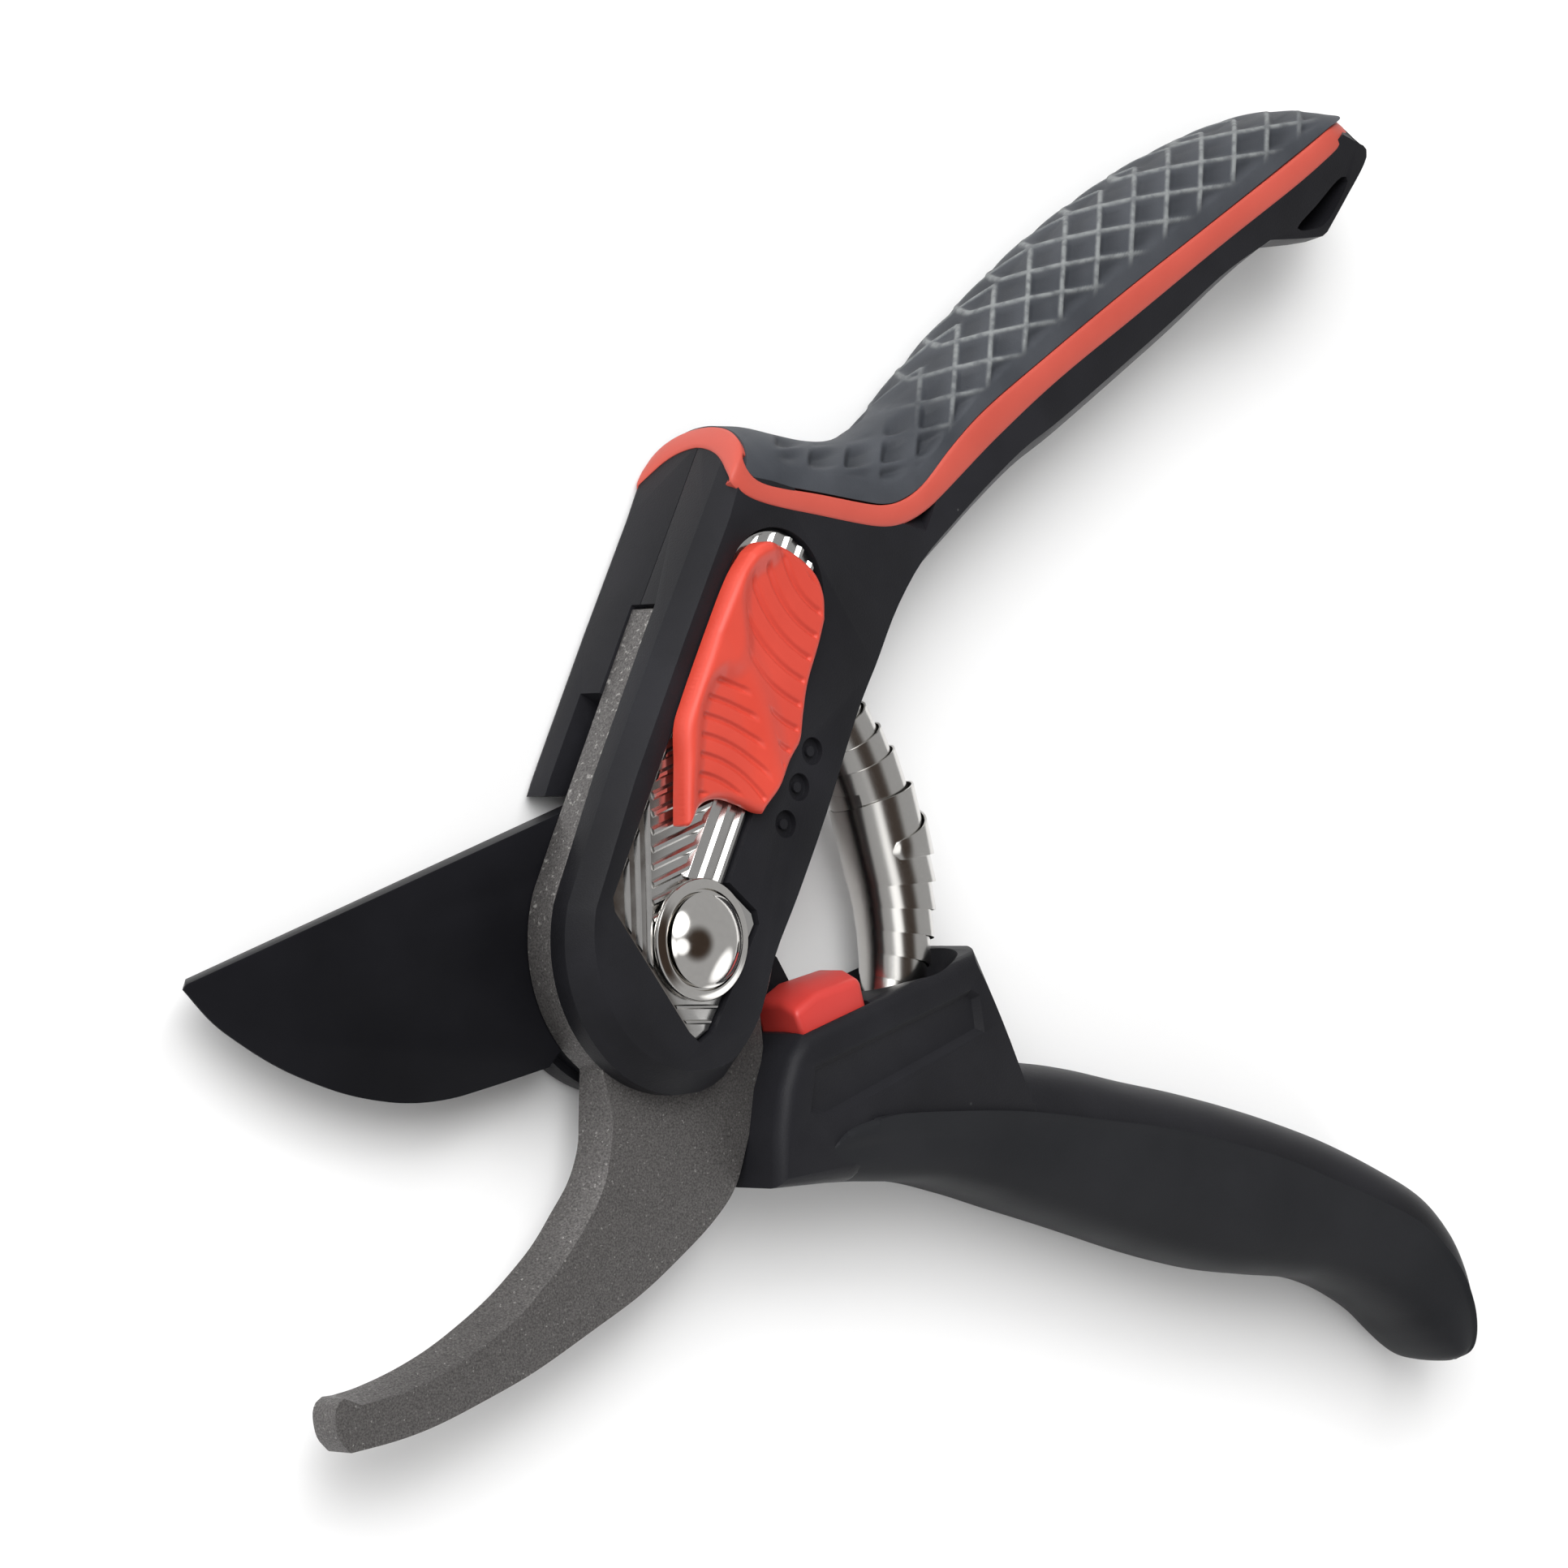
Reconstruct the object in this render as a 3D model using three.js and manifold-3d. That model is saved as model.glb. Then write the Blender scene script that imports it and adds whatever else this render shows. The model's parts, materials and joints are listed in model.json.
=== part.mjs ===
// Bypass pruner, 8 inch class, lying flat on its back, jaws open.
//
// Frame: millimetres, +Z up. Z is the axis of the pivot bolt, and z = 0 is the back of the
// housing, where the nut's end face is flush. +X runs along the lower handle side, +Y towards
// the upper handle. The head of the upper handle leans HEAD_LEAN degrees from +Y towards +X,
// and head(across, along) gives places in that leaning frame.
//
// Layers from the back: rear shell, cutting blade, counter blade (the hook), front shell.

import * as THREE from "three";
import { mergeVertices } from "three/addons/utils/BufferGeometryUtils.js";
import Module from "manifold-3d";

const wasm = await Module();
wasm.setup();

// ---- driving dimensions ---------------------------------------------------------------------

const HEAD_LEAN = 25;            // the head's own axis, degrees from +Y towards +X
const BODY_THICK = 16.5;         // housing and grips, back to front
const GAP = 0.3;                 // clearance between touching pieces

const BLADE_BACK = 4.1;
const BLADE_FRONT = 6.9;
const HOOK_BACK = 7.1;
const HOOK_FRONT = 11.0;
const PARTING = 8.6;             // where the two upper shells meet
const REAR_TOP = 3.8;            // rear shell under the blade
const FRONT_BOTTOM = 11.3;       // front shell over the hook

const ROOT_RADIUS = 17.5;        // round root of both blades
const HEEL_RADIUS = 11.6;        // blade root where the lock tongue passes
const HEAD_RADIUS = 17.8;        // round end of the housing
const HEAD_SIDE = 17.9;          // left wall of the head, from the pivot axis

const BOLT_SHANK = 3.85;
const BOLT_BORE = 4.25;
const BUSH_OUTER = 5.5;
const BUSH_BORE = 5.8;
const FLANGE_RADIUS = 6.95;
const DOME_RADIUS = 5.5;
const NUT_FLATS = 13;
const NUT_WELL = 9.6;            // round opening of the rear shell around the nut

const PLATE_TOP = 16.0;
const PLATE_BOTTOM = 15.3;
const RECESS_FLOOR = 15.1;
const SLOT_CENTRE = -6.2;        // slider track, across the head
const SLOT_HALF = 7.1;
const TRACK_TOP = 40.4;          // centre of the track's round upper end, along the head

const BUTTON_BASE = 16.8;
const BUTTON_TOP = 19.4;
const TRAVEL = 8.4;              // slider travel towards the pivot

const SPRING_RADIUS = 38;        // the spring's own arc about the pivot
const SPRING_START = -15;        // degrees, bottom of the lower socket
const SPRING_END = 52.5;         // degrees, bottom of the upper pocket
const SPRING_HEIGHT = 8.5;       // spring centre above the back
const SOCKET_BORE = 7.1;
const POCKET_BORE = 5.8;

const CORE_BACK = 2.4;           // hard core inside the soft grips
const CORE_FRONT = 12.5;
const GRIP_ROUND = 5.6;          // rounding of the upper grip's outer edge
const COVER_ROUND = 3.4;         // rounding of the lower grip's outer edge
const SHELL_ROUND = 1.5;         // rounding of the hard shells

const SCREW = { shank: 1.1, head: 1.75, hole: 1.4, well: 2.05 };
const RIVET = { radius: 1.5, hole: 1.8 };
const PIN = { radius: 1.0, hole: 1.3 };

const UNDER = -1;                // cutters start below the body and end above it
const OVER = 20;

// ---- small tools ----------------------------------------------------------------------------

const lean = THREE.MathUtils.degToRad(HEAD_LEAN);

function head(across, along) {
  return new THREE.Vector2(
    across * Math.cos(lean) + along * Math.sin(lean),
    along * Math.cos(lean) - across * Math.sin(lean));
}

function polar(radius, degrees) {
  const angle = THREE.MathUtils.degToRad(degrees);
  return new THREE.Vector2(radius * Math.cos(angle), radius * Math.sin(angle));
}

function places(pairs) {
  return pairs.map(([x, y]) => new THREE.Vector2(x, y));
}

// A closed loop of points: corners stay corners, and each { through: [...] } is a smooth curve.
function loopOf(stretches, divisions = 2) {
  const path = new THREE.Path();
  let started = false;
  for (const stretch of stretches) {
    const points = stretch.through ?? [stretch];
    if (!started) {
      path.moveTo(points[0].x, points[0].y);
      started = true;
      if (points.length > 1) path.splineThru(points.slice(1));
    } else if (points.length > 1) {
      path.lineTo(points[0].x, points[0].y);
      path.splineThru(points.slice(1));
    } else {
      path.lineTo(points[0].x, points[0].y);
    }
  }
  const loop = path.getPoints(divisions);
  return loop.filter((p, i) => p.distanceTo(loop[(i + 1) % loop.length]) > 0.05);
}

function arcPoints(centre, radius, from, to, steps) {
  const points = [];
  for (let i = 0; i <= steps; i += 1) {
    points.push(polar(radius, from + (to - from) * i / steps).add(centre));
  }
  return points;
}

// The loop moved outwards by a distance, for a clearance around a neighbour.
function grown(loop, distance) {
  const sign = THREE.ShapeUtils.area(loop) > 0 ? 1 : -1;
  return loop.map((point, i) => {
    const before = loop[(i + loop.length - 1) % loop.length];
    const after = loop[(i + 1) % loop.length];
    const one = point.clone().sub(before).normalize();
    const two = after.clone().sub(point).normalize();
    const normal = new THREE.Vector2(one.y + two.y, -one.x - two.x).normalize();
    const reach = Math.max(0.6, normal.dot(new THREE.Vector2(two.y, -two.x)));
    return point.clone().addScaledVector(normal, sign * distance / reach);
  });
}

// ---- solids ---------------------------------------------------------------------------------

function solidFrom(position, index) {
  return new wasm.Manifold(new wasm.Mesh({
    numProp: 3,
    vertProperties: new Float32Array(position),
    triVerts: new Uint32Array(index),
  }));
}

function solidOf(geometry) {
  const bare = geometry.clone();
  for (const name of Object.keys(bare.attributes)) {
    if (name !== "position") bare.deleteAttribute(name);
  }
  const merged = mergeVertices(bare, 1e-4);
  return solidFrom(merged.attributes.position.array, merged.index.array);
}

function geometryOf(solid) {
  const mesh = solid.getMesh();
  const geometry = new THREE.BufferGeometry();
  geometry.setAttribute("position", new THREE.BufferAttribute(mesh.vertProperties, 3));
  geometry.setIndex(new THREE.BufferAttribute(mesh.triVerts, 1));
  geometry.computeVertexNormals();
  return geometry;
}

function slab(loop, bottom, top) {
  const options = { depth: top - bottom, bevelEnabled: false, steps: 1 };
  const geometry = new THREE.ExtrudeGeometry(new THREE.Shape(loop), options);
  geometry.translate(0, 0, bottom);
  return solidOf(geometry);
}

// A solid between loops with the same number of points, each at its own height.
function loft(levels) {
  const count = levels[0].loop.length;
  const position = [];
  for (const level of levels) {
    for (const point of level.loop) position.push(point.x, point.y, level.z);
  }
  const index = [];
  const ccw = THREE.ShapeUtils.area(levels[0].loop) > 0;
  const face = (a, b, c) => (ccw ? index.push(a, b, c) : index.push(a, c, b));
  for (let k = 0; k + 1 < levels.length; k += 1) {
    for (let i = 0; i < count; i += 1) {
      const j = (i + 1) % count;
      const low = k * count;
      const high = low + count;
      face(low + i, low + j, high + j);
      face(low + i, high + j, high + i);
    }
  }
  const last = (levels.length - 1) * count;
  const widest = levels[Math.floor(levels.length / 2)].loop;
  for (const [a, b, c] of THREE.ShapeUtils.triangulateShape(widest, [])) {
    index.push(a, c, b, last + a, last + b, last + c);
  }
  return solidFrom(position, index);
}

// A slab whose edges are rounded over by the same size all round, in a few steps.
function roundedSlab(loop, bottom, top, size, steps) {
  const levels = [];
  for (let i = 0; i <= steps; i += 1) {
    const angle = Math.PI / 2 * i / steps;
    const inset = size * (1 - Math.sin(angle));
    levels.push({ z: bottom + size * (1 - Math.cos(angle)), loop: grown(loop, -inset) });
  }
  const upper = levels.map(({ z, loop: ring }) => ({ z: bottom + top - z, loop: ring }));
  return loft([...levels, ...upper.reverse()]);
}

function rod(x, y, radius, bottom, top, sides = 24) {
  const geometry = new THREE.CylinderGeometry(radius, radius, top - bottom, sides);
  geometry.rotateX(Math.PI / 2);
  geometry.translate(x, y, (bottom + top) / 2);
  return solidOf(geometry);
}

function rodAlong(from, to, radius, sides = 20) {
  const length = from.distanceTo(to);
  const geometry = new THREE.CylinderGeometry(radius, radius, length, sides);
  const direction = to.clone().sub(from).normalize();
  const turn = new THREE.Quaternion().setFromUnitVectors(new THREE.Vector3(0, 1, 0), direction);
  geometry.applyQuaternion(turn);
  const middle = from.clone().add(to).multiplyScalar(0.5);
  geometry.translate(middle.x, middle.y, middle.z);
  return solidOf(geometry);
}

// A body of revolution about +Z at a place, from [radius, z] pairs.
function turned(x, y, profile, sides = 28) {
  const points = profile.map(([radius, z]) => new THREE.Vector2(radius, z));
  const geometry = new THREE.LatheGeometry(points, sides);
  geometry.rotateX(Math.PI / 2);
  geometry.translate(x, y, 0);
  return solidOf(geometry);
}

function box(across, along, bottom, top) {
  return slab([
    head(across[0], along[0]), head(across[1], along[0]),
    head(across[1], along[1]), head(across[0], along[1]),
  ], bottom, top);
}

function arcPlace(degrees) {
  const place = polar(SPRING_RADIUS, degrees);
  return new THREE.Vector3(place.x, place.y, SPRING_HEIGHT);
}

// ---- finishes -------------------------------------------------------------------------------

function finish(colour, roughness, metalness = 0) {
  return new THREE.MeshStandardMaterial({ color: colour, roughness, metalness });
}

const finishes = {
  nylon: finish(0x1d1d20, 0.62),
  softGrey: finish(0x4b4f54, 0.7),
  softBlack: finish(0x232427, 0.55),
  accent: finish(0xdc5238, 0.45),
  button: finish(0xe84a2c, 0.4),
  bumper: finish(0xd5402f, 0.45),
  coatedBlade: finish(0x17181a, 0.38, 0.6),
  coatedHook: finish(0x4a4742, 0.6, 0.7),
  chrome: finish(0xd9dbde, 0.12, 1),
  steel: finish(0xb4b2ac, 0.32, 1),
  zinc: finish(0x9b9da0, 0.4, 1),
  bronze: finish(0xa98246, 0.4, 1),
};

const group = new THREE.Group();

function add(name, solid, material) {
  const mesh = new THREE.Mesh(geometryOf(solid), material);
  mesh.name = name;
  group.add(mesh);
}

// ---- outlines of the upper handle -----------------------------------------------------------

// Inner edge of the accent stripe, from the head's left wall to the handle's end.
const stripeInner = places([
  [9.2, 49.4], [17.5, 48.4], [28.8, 47.5], [35.6, 49.8], [43.5, 56.1],
  [57.0, 66.2], [77.9, 79.4], [99.5, 93.0], [108.4, 98.6],
]);
// Outer edge of the stripe, where the soft grip starts.
const stripeOuter = places([
  [12.5, 51.4], [20.5, 50.6], [28.4, 49.9], [34.3, 52.0], [43.0, 60.4],
  [57.0, 69.9], [77.9, 83.4], [99.5, 96.4], [106.2, 101.2],
]);
// Outer side of the soft grip.
const gripOuter = places([
  [15.0, 58.1], [22.0, 57.3], [29.5, 57.9], [36.6, 61.1], [52.0, 74.2],
  [69.8, 87.4], [82.8, 94.3], [95.5, 99.6], [106.0, 102.4],
]);
// Inner (hand) side of the frame, from the handle's end back to the pivot.
const frameInner = places([
  [95.2, 84.9], [72.9, 69.3], [45.5, 50.6], [35.4, 42.0], [28.8, 33.6], [24.3, 25.8],
]);
// The soft pieces start this far beyond the edge of the piece before them.
const seamStep = new THREE.Vector2(-0.17, 0.3);

function shifted(line) {
  return line.map((point) => point.clone().add(seamStep));
}

const thumbHump = places([[4.6, 51.0], [4.6, 54.4], [8.0, 57.7], [12.0, 58.4], [15.0, 58.1]]);

const lanyardSpur = places([[112.6, 97.2], [108.6, 92.6], [104.2, 86.3]]);
const handleEnd = places([[110.0, 101.8], [112.0, 99.6]]);

const headBottom = arcPoints(new THREE.Vector2(), HEAD_RADIUS, -48, -195, 14);

const upperOutline = loopOf([
  { through: headBottom },
  head(-HEAD_SIDE, 20),
  head(-HEAD_SIDE + 0.5, 47),
  { through: thumbHump },
  { through: gripOuter },
  { through: handleEnd },
  { through: lanyardSpur },
  { through: frameInner },
  new THREE.Vector2(15.2, 5.3),
  new THREE.Vector2(12.1, -2.0),
  new THREE.Vector2(12.4, -8.0),
]);

const frameRegion = loopOf([
  head(-40, -40),
  head(-40, 48.2),
  new THREE.Vector2(4.2, 51.2),
  { through: stripeInner },
  new THREE.Vector2(120, 105),
  new THREE.Vector2(125, 60),
  head(40, -40),
]);

const stripeRegion = loopOf([
  new THREE.Vector2(-6, 53),
  new THREE.Vector2(4.4, 51.5),
  { through: shifted(stripeInner) },
  new THREE.Vector2(118, 105.0),
  new THREE.Vector2(116, 107.6),
  { through: stripeOuter.slice().reverse() },
  new THREE.Vector2(9.4, 52.2),
  new THREE.Vector2(8.4, 55.0),
  new THREE.Vector2(9.6, 62),
  new THREE.Vector2(-6, 62),
]);

const padRegion = loopOf([
  new THREE.Vector2(10.0, 62),
  new THREE.Vector2(8.75, 55.1),
  new THREE.Vector2(9.65, 52.5),
  { through: shifted(stripeOuter) },
  new THREE.Vector2(115, 107.8),
  new THREE.Vector2(110, 115),
  new THREE.Vector2(40, 115),
]);

// ---- counter blade --------------------------------------------------------------------------

const hookOuter = places([
  [-45.2, -55.1], [-39.2, -54.2], [-26.6, -50.4], [-11.2, -43.5], [2.2, -35.6],
  [9.0, -29.9], [12.4, -22.4], [14.6, -12.2],
]);
const hookTip = places([[-46.6, -49.3], [-47.9, -50.8], [-47.2, -52.8]]);
const hookInnerBack = places([
  [-10.0, -20.5], [-10.9, -26.0], [-16.7, -33.8], [-25.5, -41.1], [-34.5, -46.0], [-44.5, -49.2],
]);
const hookInnerFront = places([
  [-8.4, -21.0], [-9.3, -27.2], [-15.2, -35.6], [-24.0, -42.9], [-33.2, -47.5], [-43.4, -50.5],
]);

function hookLoop(inner) {
  return loopOf([
    { through: arcPoints(new THREE.Vector2(), ROOT_RADIUS, 155, 212, 6) },
    new THREE.Vector2(-11.6, -15.6),
    { through: inner },
    { through: hookTip },
    { through: hookOuter },
    { through: arcPoints(new THREE.Vector2(), 16.4, -20, 38, 5) },
    head(5.0, 24),
    head(-3.5, 32),
    head(-3.5, 43),
    head(-5.5, 45),
    head(-12.5, 45),
    head(-14.5, 43),
    head(-14.5, 33),
    head(-ROOT_RADIUS, 33),
  ]);
}

const headScrew = [-9, 39];
const lockSlot = { across: [-8.8, -3.6], along: [11.0, 23.6] };

function counterBlade() {
  const plate = loft([
    { z: HOOK_BACK, loop: hookLoop(hookInnerBack) },
    { z: HOOK_FRONT, loop: hookLoop(hookInnerFront) },
  ]);
  const screwHole = head(...headScrew);
  return plate
    .subtract(rod(0, 0, BUSH_BORE, UNDER, OVER))
    .subtract(box(lockSlot.across, lockSlot.along, UNDER, OVER))
    .subtract(rod(screwHole.x, screwHole.y, RIVET.hole, UNDER, OVER, 12));
}
add("counter_blade", counterBlade(), finishes.coatedHook);

// ---- cutting blade --------------------------------------------------------------------------

const bladeBelly = places([
  [-64.9, -5.9], [-59.5, -10.2], [-52.9, -13.5], [-43.5, -16.8], [-34.8, -17.8], [-26.5, -17.0],
  [-17.5, -14.8],
]);
const bladeBellyBack = places([
  [-62.6, -4.9], [-57.6, -7.2], [-51.6, -9.9], [-42.8, -12.9], [-34.4, -14.0], [-26.2, -13.5],
  [-17.3, -12.9],
]);
const SPINE_ANGLE = 109.6;       // where the spine leaves the round root

// The tang that the lower handle is moulded around.
const tang = places([
  [20.2, -1.4], [22.6, -4.4], [26.0, -12.6], [37.0, -15.4], [56.0, -19.6], [58.4, -21.6],
  [56.6, -24.2], [36.0, -24.6], [15.4, -21.6],
]);

const tangRivets = places([[30.5, -19], [49.5, -21]]);

function bladeLoop(belly) {
  return loopOf([
    new THREE.Vector2(-63.9, -4.2),
    new THREE.Vector2(-65.2, -4.8),
    { through: belly },
    { through: arcPoints(new THREE.Vector2(), 16.4, -122, -74, 4) },
    ...tang.slice().reverse(),
    polar(HEEL_RADIUS + 2.4, 12),
    { through: arcPoints(new THREE.Vector2(), HEEL_RADIUS, 22, 107, 6) },
    polar(ROOT_RADIUS, SPINE_ANGLE - 1.5),
    polar(ROOT_RADIUS, SPINE_ANGLE + 1),
  ]);
}

function cuttingBlade() {
  const plate = loft([
    { z: BLADE_BACK, loop: bladeLoop(bladeBellyBack) },
    { z: BLADE_FRONT - 0.3, loop: bladeLoop(bladeBelly) },
    { z: BLADE_FRONT, loop: bladeLoop(bladeBelly) },
  ]);
  const holes = tangRivets.map(({ x, y }) => rod(x, y, RIVET.hole, UNDER, OVER, 12));
  return plate
    .subtract(rod(0, 0, BUSH_BORE, UNDER, OVER))
    .subtract(holes[0])
    .subtract(holes[1]);
}
add("cutting_blade", cuttingBlade(), finishes.coatedBlade);

// ---- guide plate and slider -----------------------------------------------------------------

const trackTop = arcPoints(head(SLOT_CENTRE, TRACK_TOP), SLOT_HALF, 155, -25, 8);
const plateLoop = loopOf([
  head(-13.3, -1.2),
  { through: trackTop },
  head(0.9, 7.4),
  head(6.6, 6.2),
  head(7.1, 5.2),
  head(5.9, -8.4),
  head(4.8, -10.1),
  head(3.0, -9.8),
  head(-12.6, -2.2),
]);
const stem = { across: [-8.6, -3.8], along: [26.2, 31.2] };
const pinPlace = head(SLOT_CENTRE, 28.7);

function guidePlate() {
  const ribs = [-11, -8.6, -6.2, -3.8, -1.4].map((across) =>
    box([across - 0.45, across + 0.45], [8.5, 43], PLATE_TOP - 0.2, PLATE_TOP + 0.15));
  let plate = slab(plateLoop, PLATE_BOTTOM, PLATE_TOP);
  for (const rib of ribs) plate = plate.add(rib);
  return plate
    .subtract(box([stem.across[0] - GAP, stem.across[1] + GAP],
      [stem.along[0] - TRAVEL - GAP, stem.along[1] + GAP], UNDER, OVER))
    .subtract(rod(0, 0, BOLT_BORE, UNDER, OVER));
}
add("guide_plate", guidePlate(), finishes.chrome);

// The arch at the button's lower end fits around the bolt's flange at the end of the travel.
const archCentre = head(0, TRAVEL);
const buttonOutline = loopOf([
  head(-13.0, 21.5),
  { through: arcPoints(head(SLOT_CENTRE, 38.1), 6.8, 155, -25, 8) },
  head(0.8, 31),
  head(2.6, 26.0),
  head(1.2, 17.0),
  { through: arcPoints(archCentre, 7.9, 62, 141, 6) },
  head(-8.3, 9.6),
  head(-10.6, 9.9),
]);
const buttonRidge = grown(buttonOutline, -1.1);

function sliderButton() {
  const cap = loft([
    { z: BUTTON_BASE, loop: buttonOutline },
    { z: BUTTON_BASE + 1.2, loop: grown(buttonOutline, -0.15) },
    { z: BUTTON_TOP, loop: buttonRidge },
  ]);
  const thumbSwell = rodAlong(
    new THREE.Vector3(...head(-16, 31).toArray(), BUTTON_TOP + 10.3),
    new THREE.Vector3(...head(6, 35).toArray(), BUTTON_TOP + 10.3), 11.5, 28);
  return cap
    .subtract(thumbSwell)
    .add(box(stem.across, stem.along, 13.7, BUTTON_BASE + 0.3))
    .subtract(rod(pinPlace.x, pinPlace.y, PIN.hole, 10, 16.2, 10));
}
add("slider_button", sliderButton(), finishes.button);

const tongue = { across: [-8.8, -3.6], along: [19.6, 31.6] };

function lockTongue() {
  return box(tongue.across, tongue.along, 11.6, 13.4)
    .add(box([-8.2, -4.2], [19.9, 22.9], BLADE_BACK + 0.3, 12))
    .subtract(rod(pinPlace.x, pinPlace.y, PIN.hole, 10, 16.2, 10));
}
add("lock_tongue", lockTongue(), finishes.zinc);

function sliderRivet() {
  return rod(pinPlace.x, pinPlace.y, PIN.radius, 11.9, 15.9, 10);
}
add("slider_rivet", sliderRivet(), finishes.zinc);

// A bent leaf beside the stem, whose three valleys are the three places of the slider.
function detentSpring() {
  const outer = [];
  const inner = [];
  const steps = 18;
  for (let i = 0; i <= steps; i += 1) {
    const along = 16.4 + 16.6 * i / steps;
    const wave = 0.45 * Math.cos(2 * Math.PI * (along - 18.6) / (TRAVEL / 2));
    outer.push(head(-2.35 + wave * 0.5, along));
    inner.push(head(-1.85 + wave * 0.5, along));
  }
  return slab([...outer, ...inner.reverse()], 11.7, 14.0);
}
add("detent_spring", detentSpring(), finishes.steel);

// ---- upper shells ---------------------------------------------------------------------------

const upperBody = roundedSlab(upperOutline, 0, BODY_THICK, SHELL_ROUND, 1);
const upperScrews = [head(...headScrew), new THREE.Vector2(52.5, 59.0), new THREE.Vector2(93.6, 86.4)];

const lanyardHole = loopOf(places([[98.6, 87.6], [101.9, 87.9], [107.2, 93.7], [103.0, 91.2]]));

function springPocket() {
  return rodAlong(arcPlace(37), arcPlace(SPRING_END + 1.8), POCKET_BORE);
}

function hookPocket() {
  return slab(grown(hookLoop(hookInnerBack), GAP), HOOK_BACK - 0.2, FRONT_BOTTOM)
    .add(box([-30, -12], [-20, 33.3], HOOK_BACK - 0.2, FRONT_BOTTOM));
}

function upperScrewHoles() {
  const holes = upperScrews.map((place) => rod(place.x, place.y, SCREW.hole, UNDER, 13.3, 12)
    .add(rod(place.x, place.y, SCREW.well, UNDER, 2.7, 16)));
  return holes.reduce((all, hole) => all.add(hole));
}

function frontShell() {
  return upperBody
    .intersect(slab(frameRegion, PARTING + 0.1, OVER))
    .subtract(box([-40, 40], [-40, 24], UNDER, FRONT_BOTTOM))
    .subtract(hookPocket())
    .subtract(slab(grown(plateLoop, GAP), RECESS_FLOOR, OVER))
    .subtract(box([stem.across[0] - GAP, stem.across[1] + GAP],
      [stem.along[0] - TRAVEL - GAP, stem.along[1] + GAP], 12, OVER))
    .subtract(box([tongue.across[0] - GAP, tongue.across[1] + GAP],
      [tongue.along[0] - TRAVEL - GAP, tongue.along[1] + GAP], 10, 13.7))
    .subtract(box([-3.4, -0.9], [16.0, 33.4], 10, 14.2))
    .subtract(rod(0, 0, BOLT_BORE, UNDER, OVER))
    .subtract(slab(lanyardHole, UNDER, OVER))
    .subtract(springPocket())
    .subtract(upperScrewHoles());
}
add("upper_shell_front", frontShell(), finishes.nylon);

// The hard core that the stripe and the soft grip are moulded over.
const coreLoop = loopOf([
  { through: stripeInner.slice(1, 8).map((p) => p.clone().add(new THREE.Vector2(0.5, -0.9))) },
  new THREE.Vector2(98.5, 94.8),
  { through: places([[82, 88.6], [69, 81.7], [56, 72.0], [45, 62.4], [35.5, 55.7], [19.5, 54.4]]) },
]);

// The back flap ends short of the blade's spine, and the round head goes on under the blade.
const spineNotch = places([[-30, 16.1], [-9.3, 16.1], [-4.0, 18.2], [-4.0, 14.7], [-30, 5.0]]);

function rearShell() {
  const core = slab(coreLoop, CORE_BACK, CORE_FRONT)
    .subtract(slab(frameRegion, PARTING, OVER));
  return upperBody
    .intersect(slab(frameRegion, UNDER, PARTING - 0.1))
    .add(core)
    .subtract(slab(spineNotch, UNDER, REAR_TOP + GAP))
    .subtract(box([-40, 40], [-40, 22.3], REAR_TOP, OVER))
    .subtract(box([-3, 40], [20, 24.4], REAR_TOP, OVER))
    .subtract(hookPocket())
    .subtract(rod(0, 0, NUT_WELL, UNDER, OVER, 32))
    .subtract(slab(lanyardHole, UNDER, OVER))
    .subtract(springPocket())
    .subtract(upperScrewHoles())
    .subtract(box([tongue.across[0] - 1, tongue.across[1] + 1], [10, 24], REAR_TOP, OVER));
}
add("upper_shell_rear", rearShell(), finishes.nylon);

function upperStripe() {
  return upperBody
    .intersect(slab(stripeRegion, UNDER, OVER))
    .subtract(slab(grown(coreLoop, GAP), CORE_BACK - GAP, CORE_FRONT + GAP));
}
add("upper_grip_stripe", upperStripe(), finishes.accent);

// Only the grip's outer side matters here; the other side lies deep inside the frame.
const padOuter = loopOf([
  new THREE.Vector2(0, 20),
  new THREE.Vector2(0, 58.4),
  { through: gripOuter },
  new THREE.Vector2(113.5, 101.2),
  new THREE.Vector2(118, 60),
]);

function upperPad() {
  const rounded = roundedSlab(padOuter, 0, BODY_THICK, GRIP_ROUND, 4);
  return rounded
    .intersect(slab(padRegion, UNDER, OVER))
    .subtract(slab(grown(coreLoop, GAP), CORE_BACK - GAP, CORE_FRONT + GAP));
}
add("upper_grip_pad", upperPad(), finishes.softGrey);

function shellScrew(place) {
  return turned(place.x, place.y, [
    [0, 0.7], [SCREW.head - 0.25, 0.7], [SCREW.head, 1.0], [SCREW.head, 2.2],
    [SCREW.shank, 2.4], [SCREW.shank, 12.2], [0, 13.0],
  ], 12);
}
upperScrews.forEach((place, i) => add(`shell_screw_${i + 1}`, shellScrew(place), finishes.zinc));

// ---- pivot ----------------------------------------------------------------------------------

function pivotBolt() {
  const dome = [];
  const crown = 2.1;
  for (let i = 0; i <= 5; i += 1) {
    const angle = Math.PI / 2 * i / 5;
    dome.push([DOME_RADIUS * Math.cos(angle), 17.9 + crown * Math.sin(angle)]);
  }
  dome[5][0] = 0;
  return turned(0, 0, [
    [0, 0], [BOLT_SHANK - 0.3, 0], [BOLT_SHANK, 0.3], [BOLT_SHANK, 17.5], [DOME_RADIUS - 0.2, 17.5],
    ...dome,
  ], 32);
}
add("pivot_bolt", pivotBolt(), finishes.chrome);

function ring(inner, outer, bottom, top) {
  return rod(0, 0, outer, bottom, top, 32).subtract(rod(0, 0, inner, bottom - 1, top + 1, 24));
}

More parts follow.
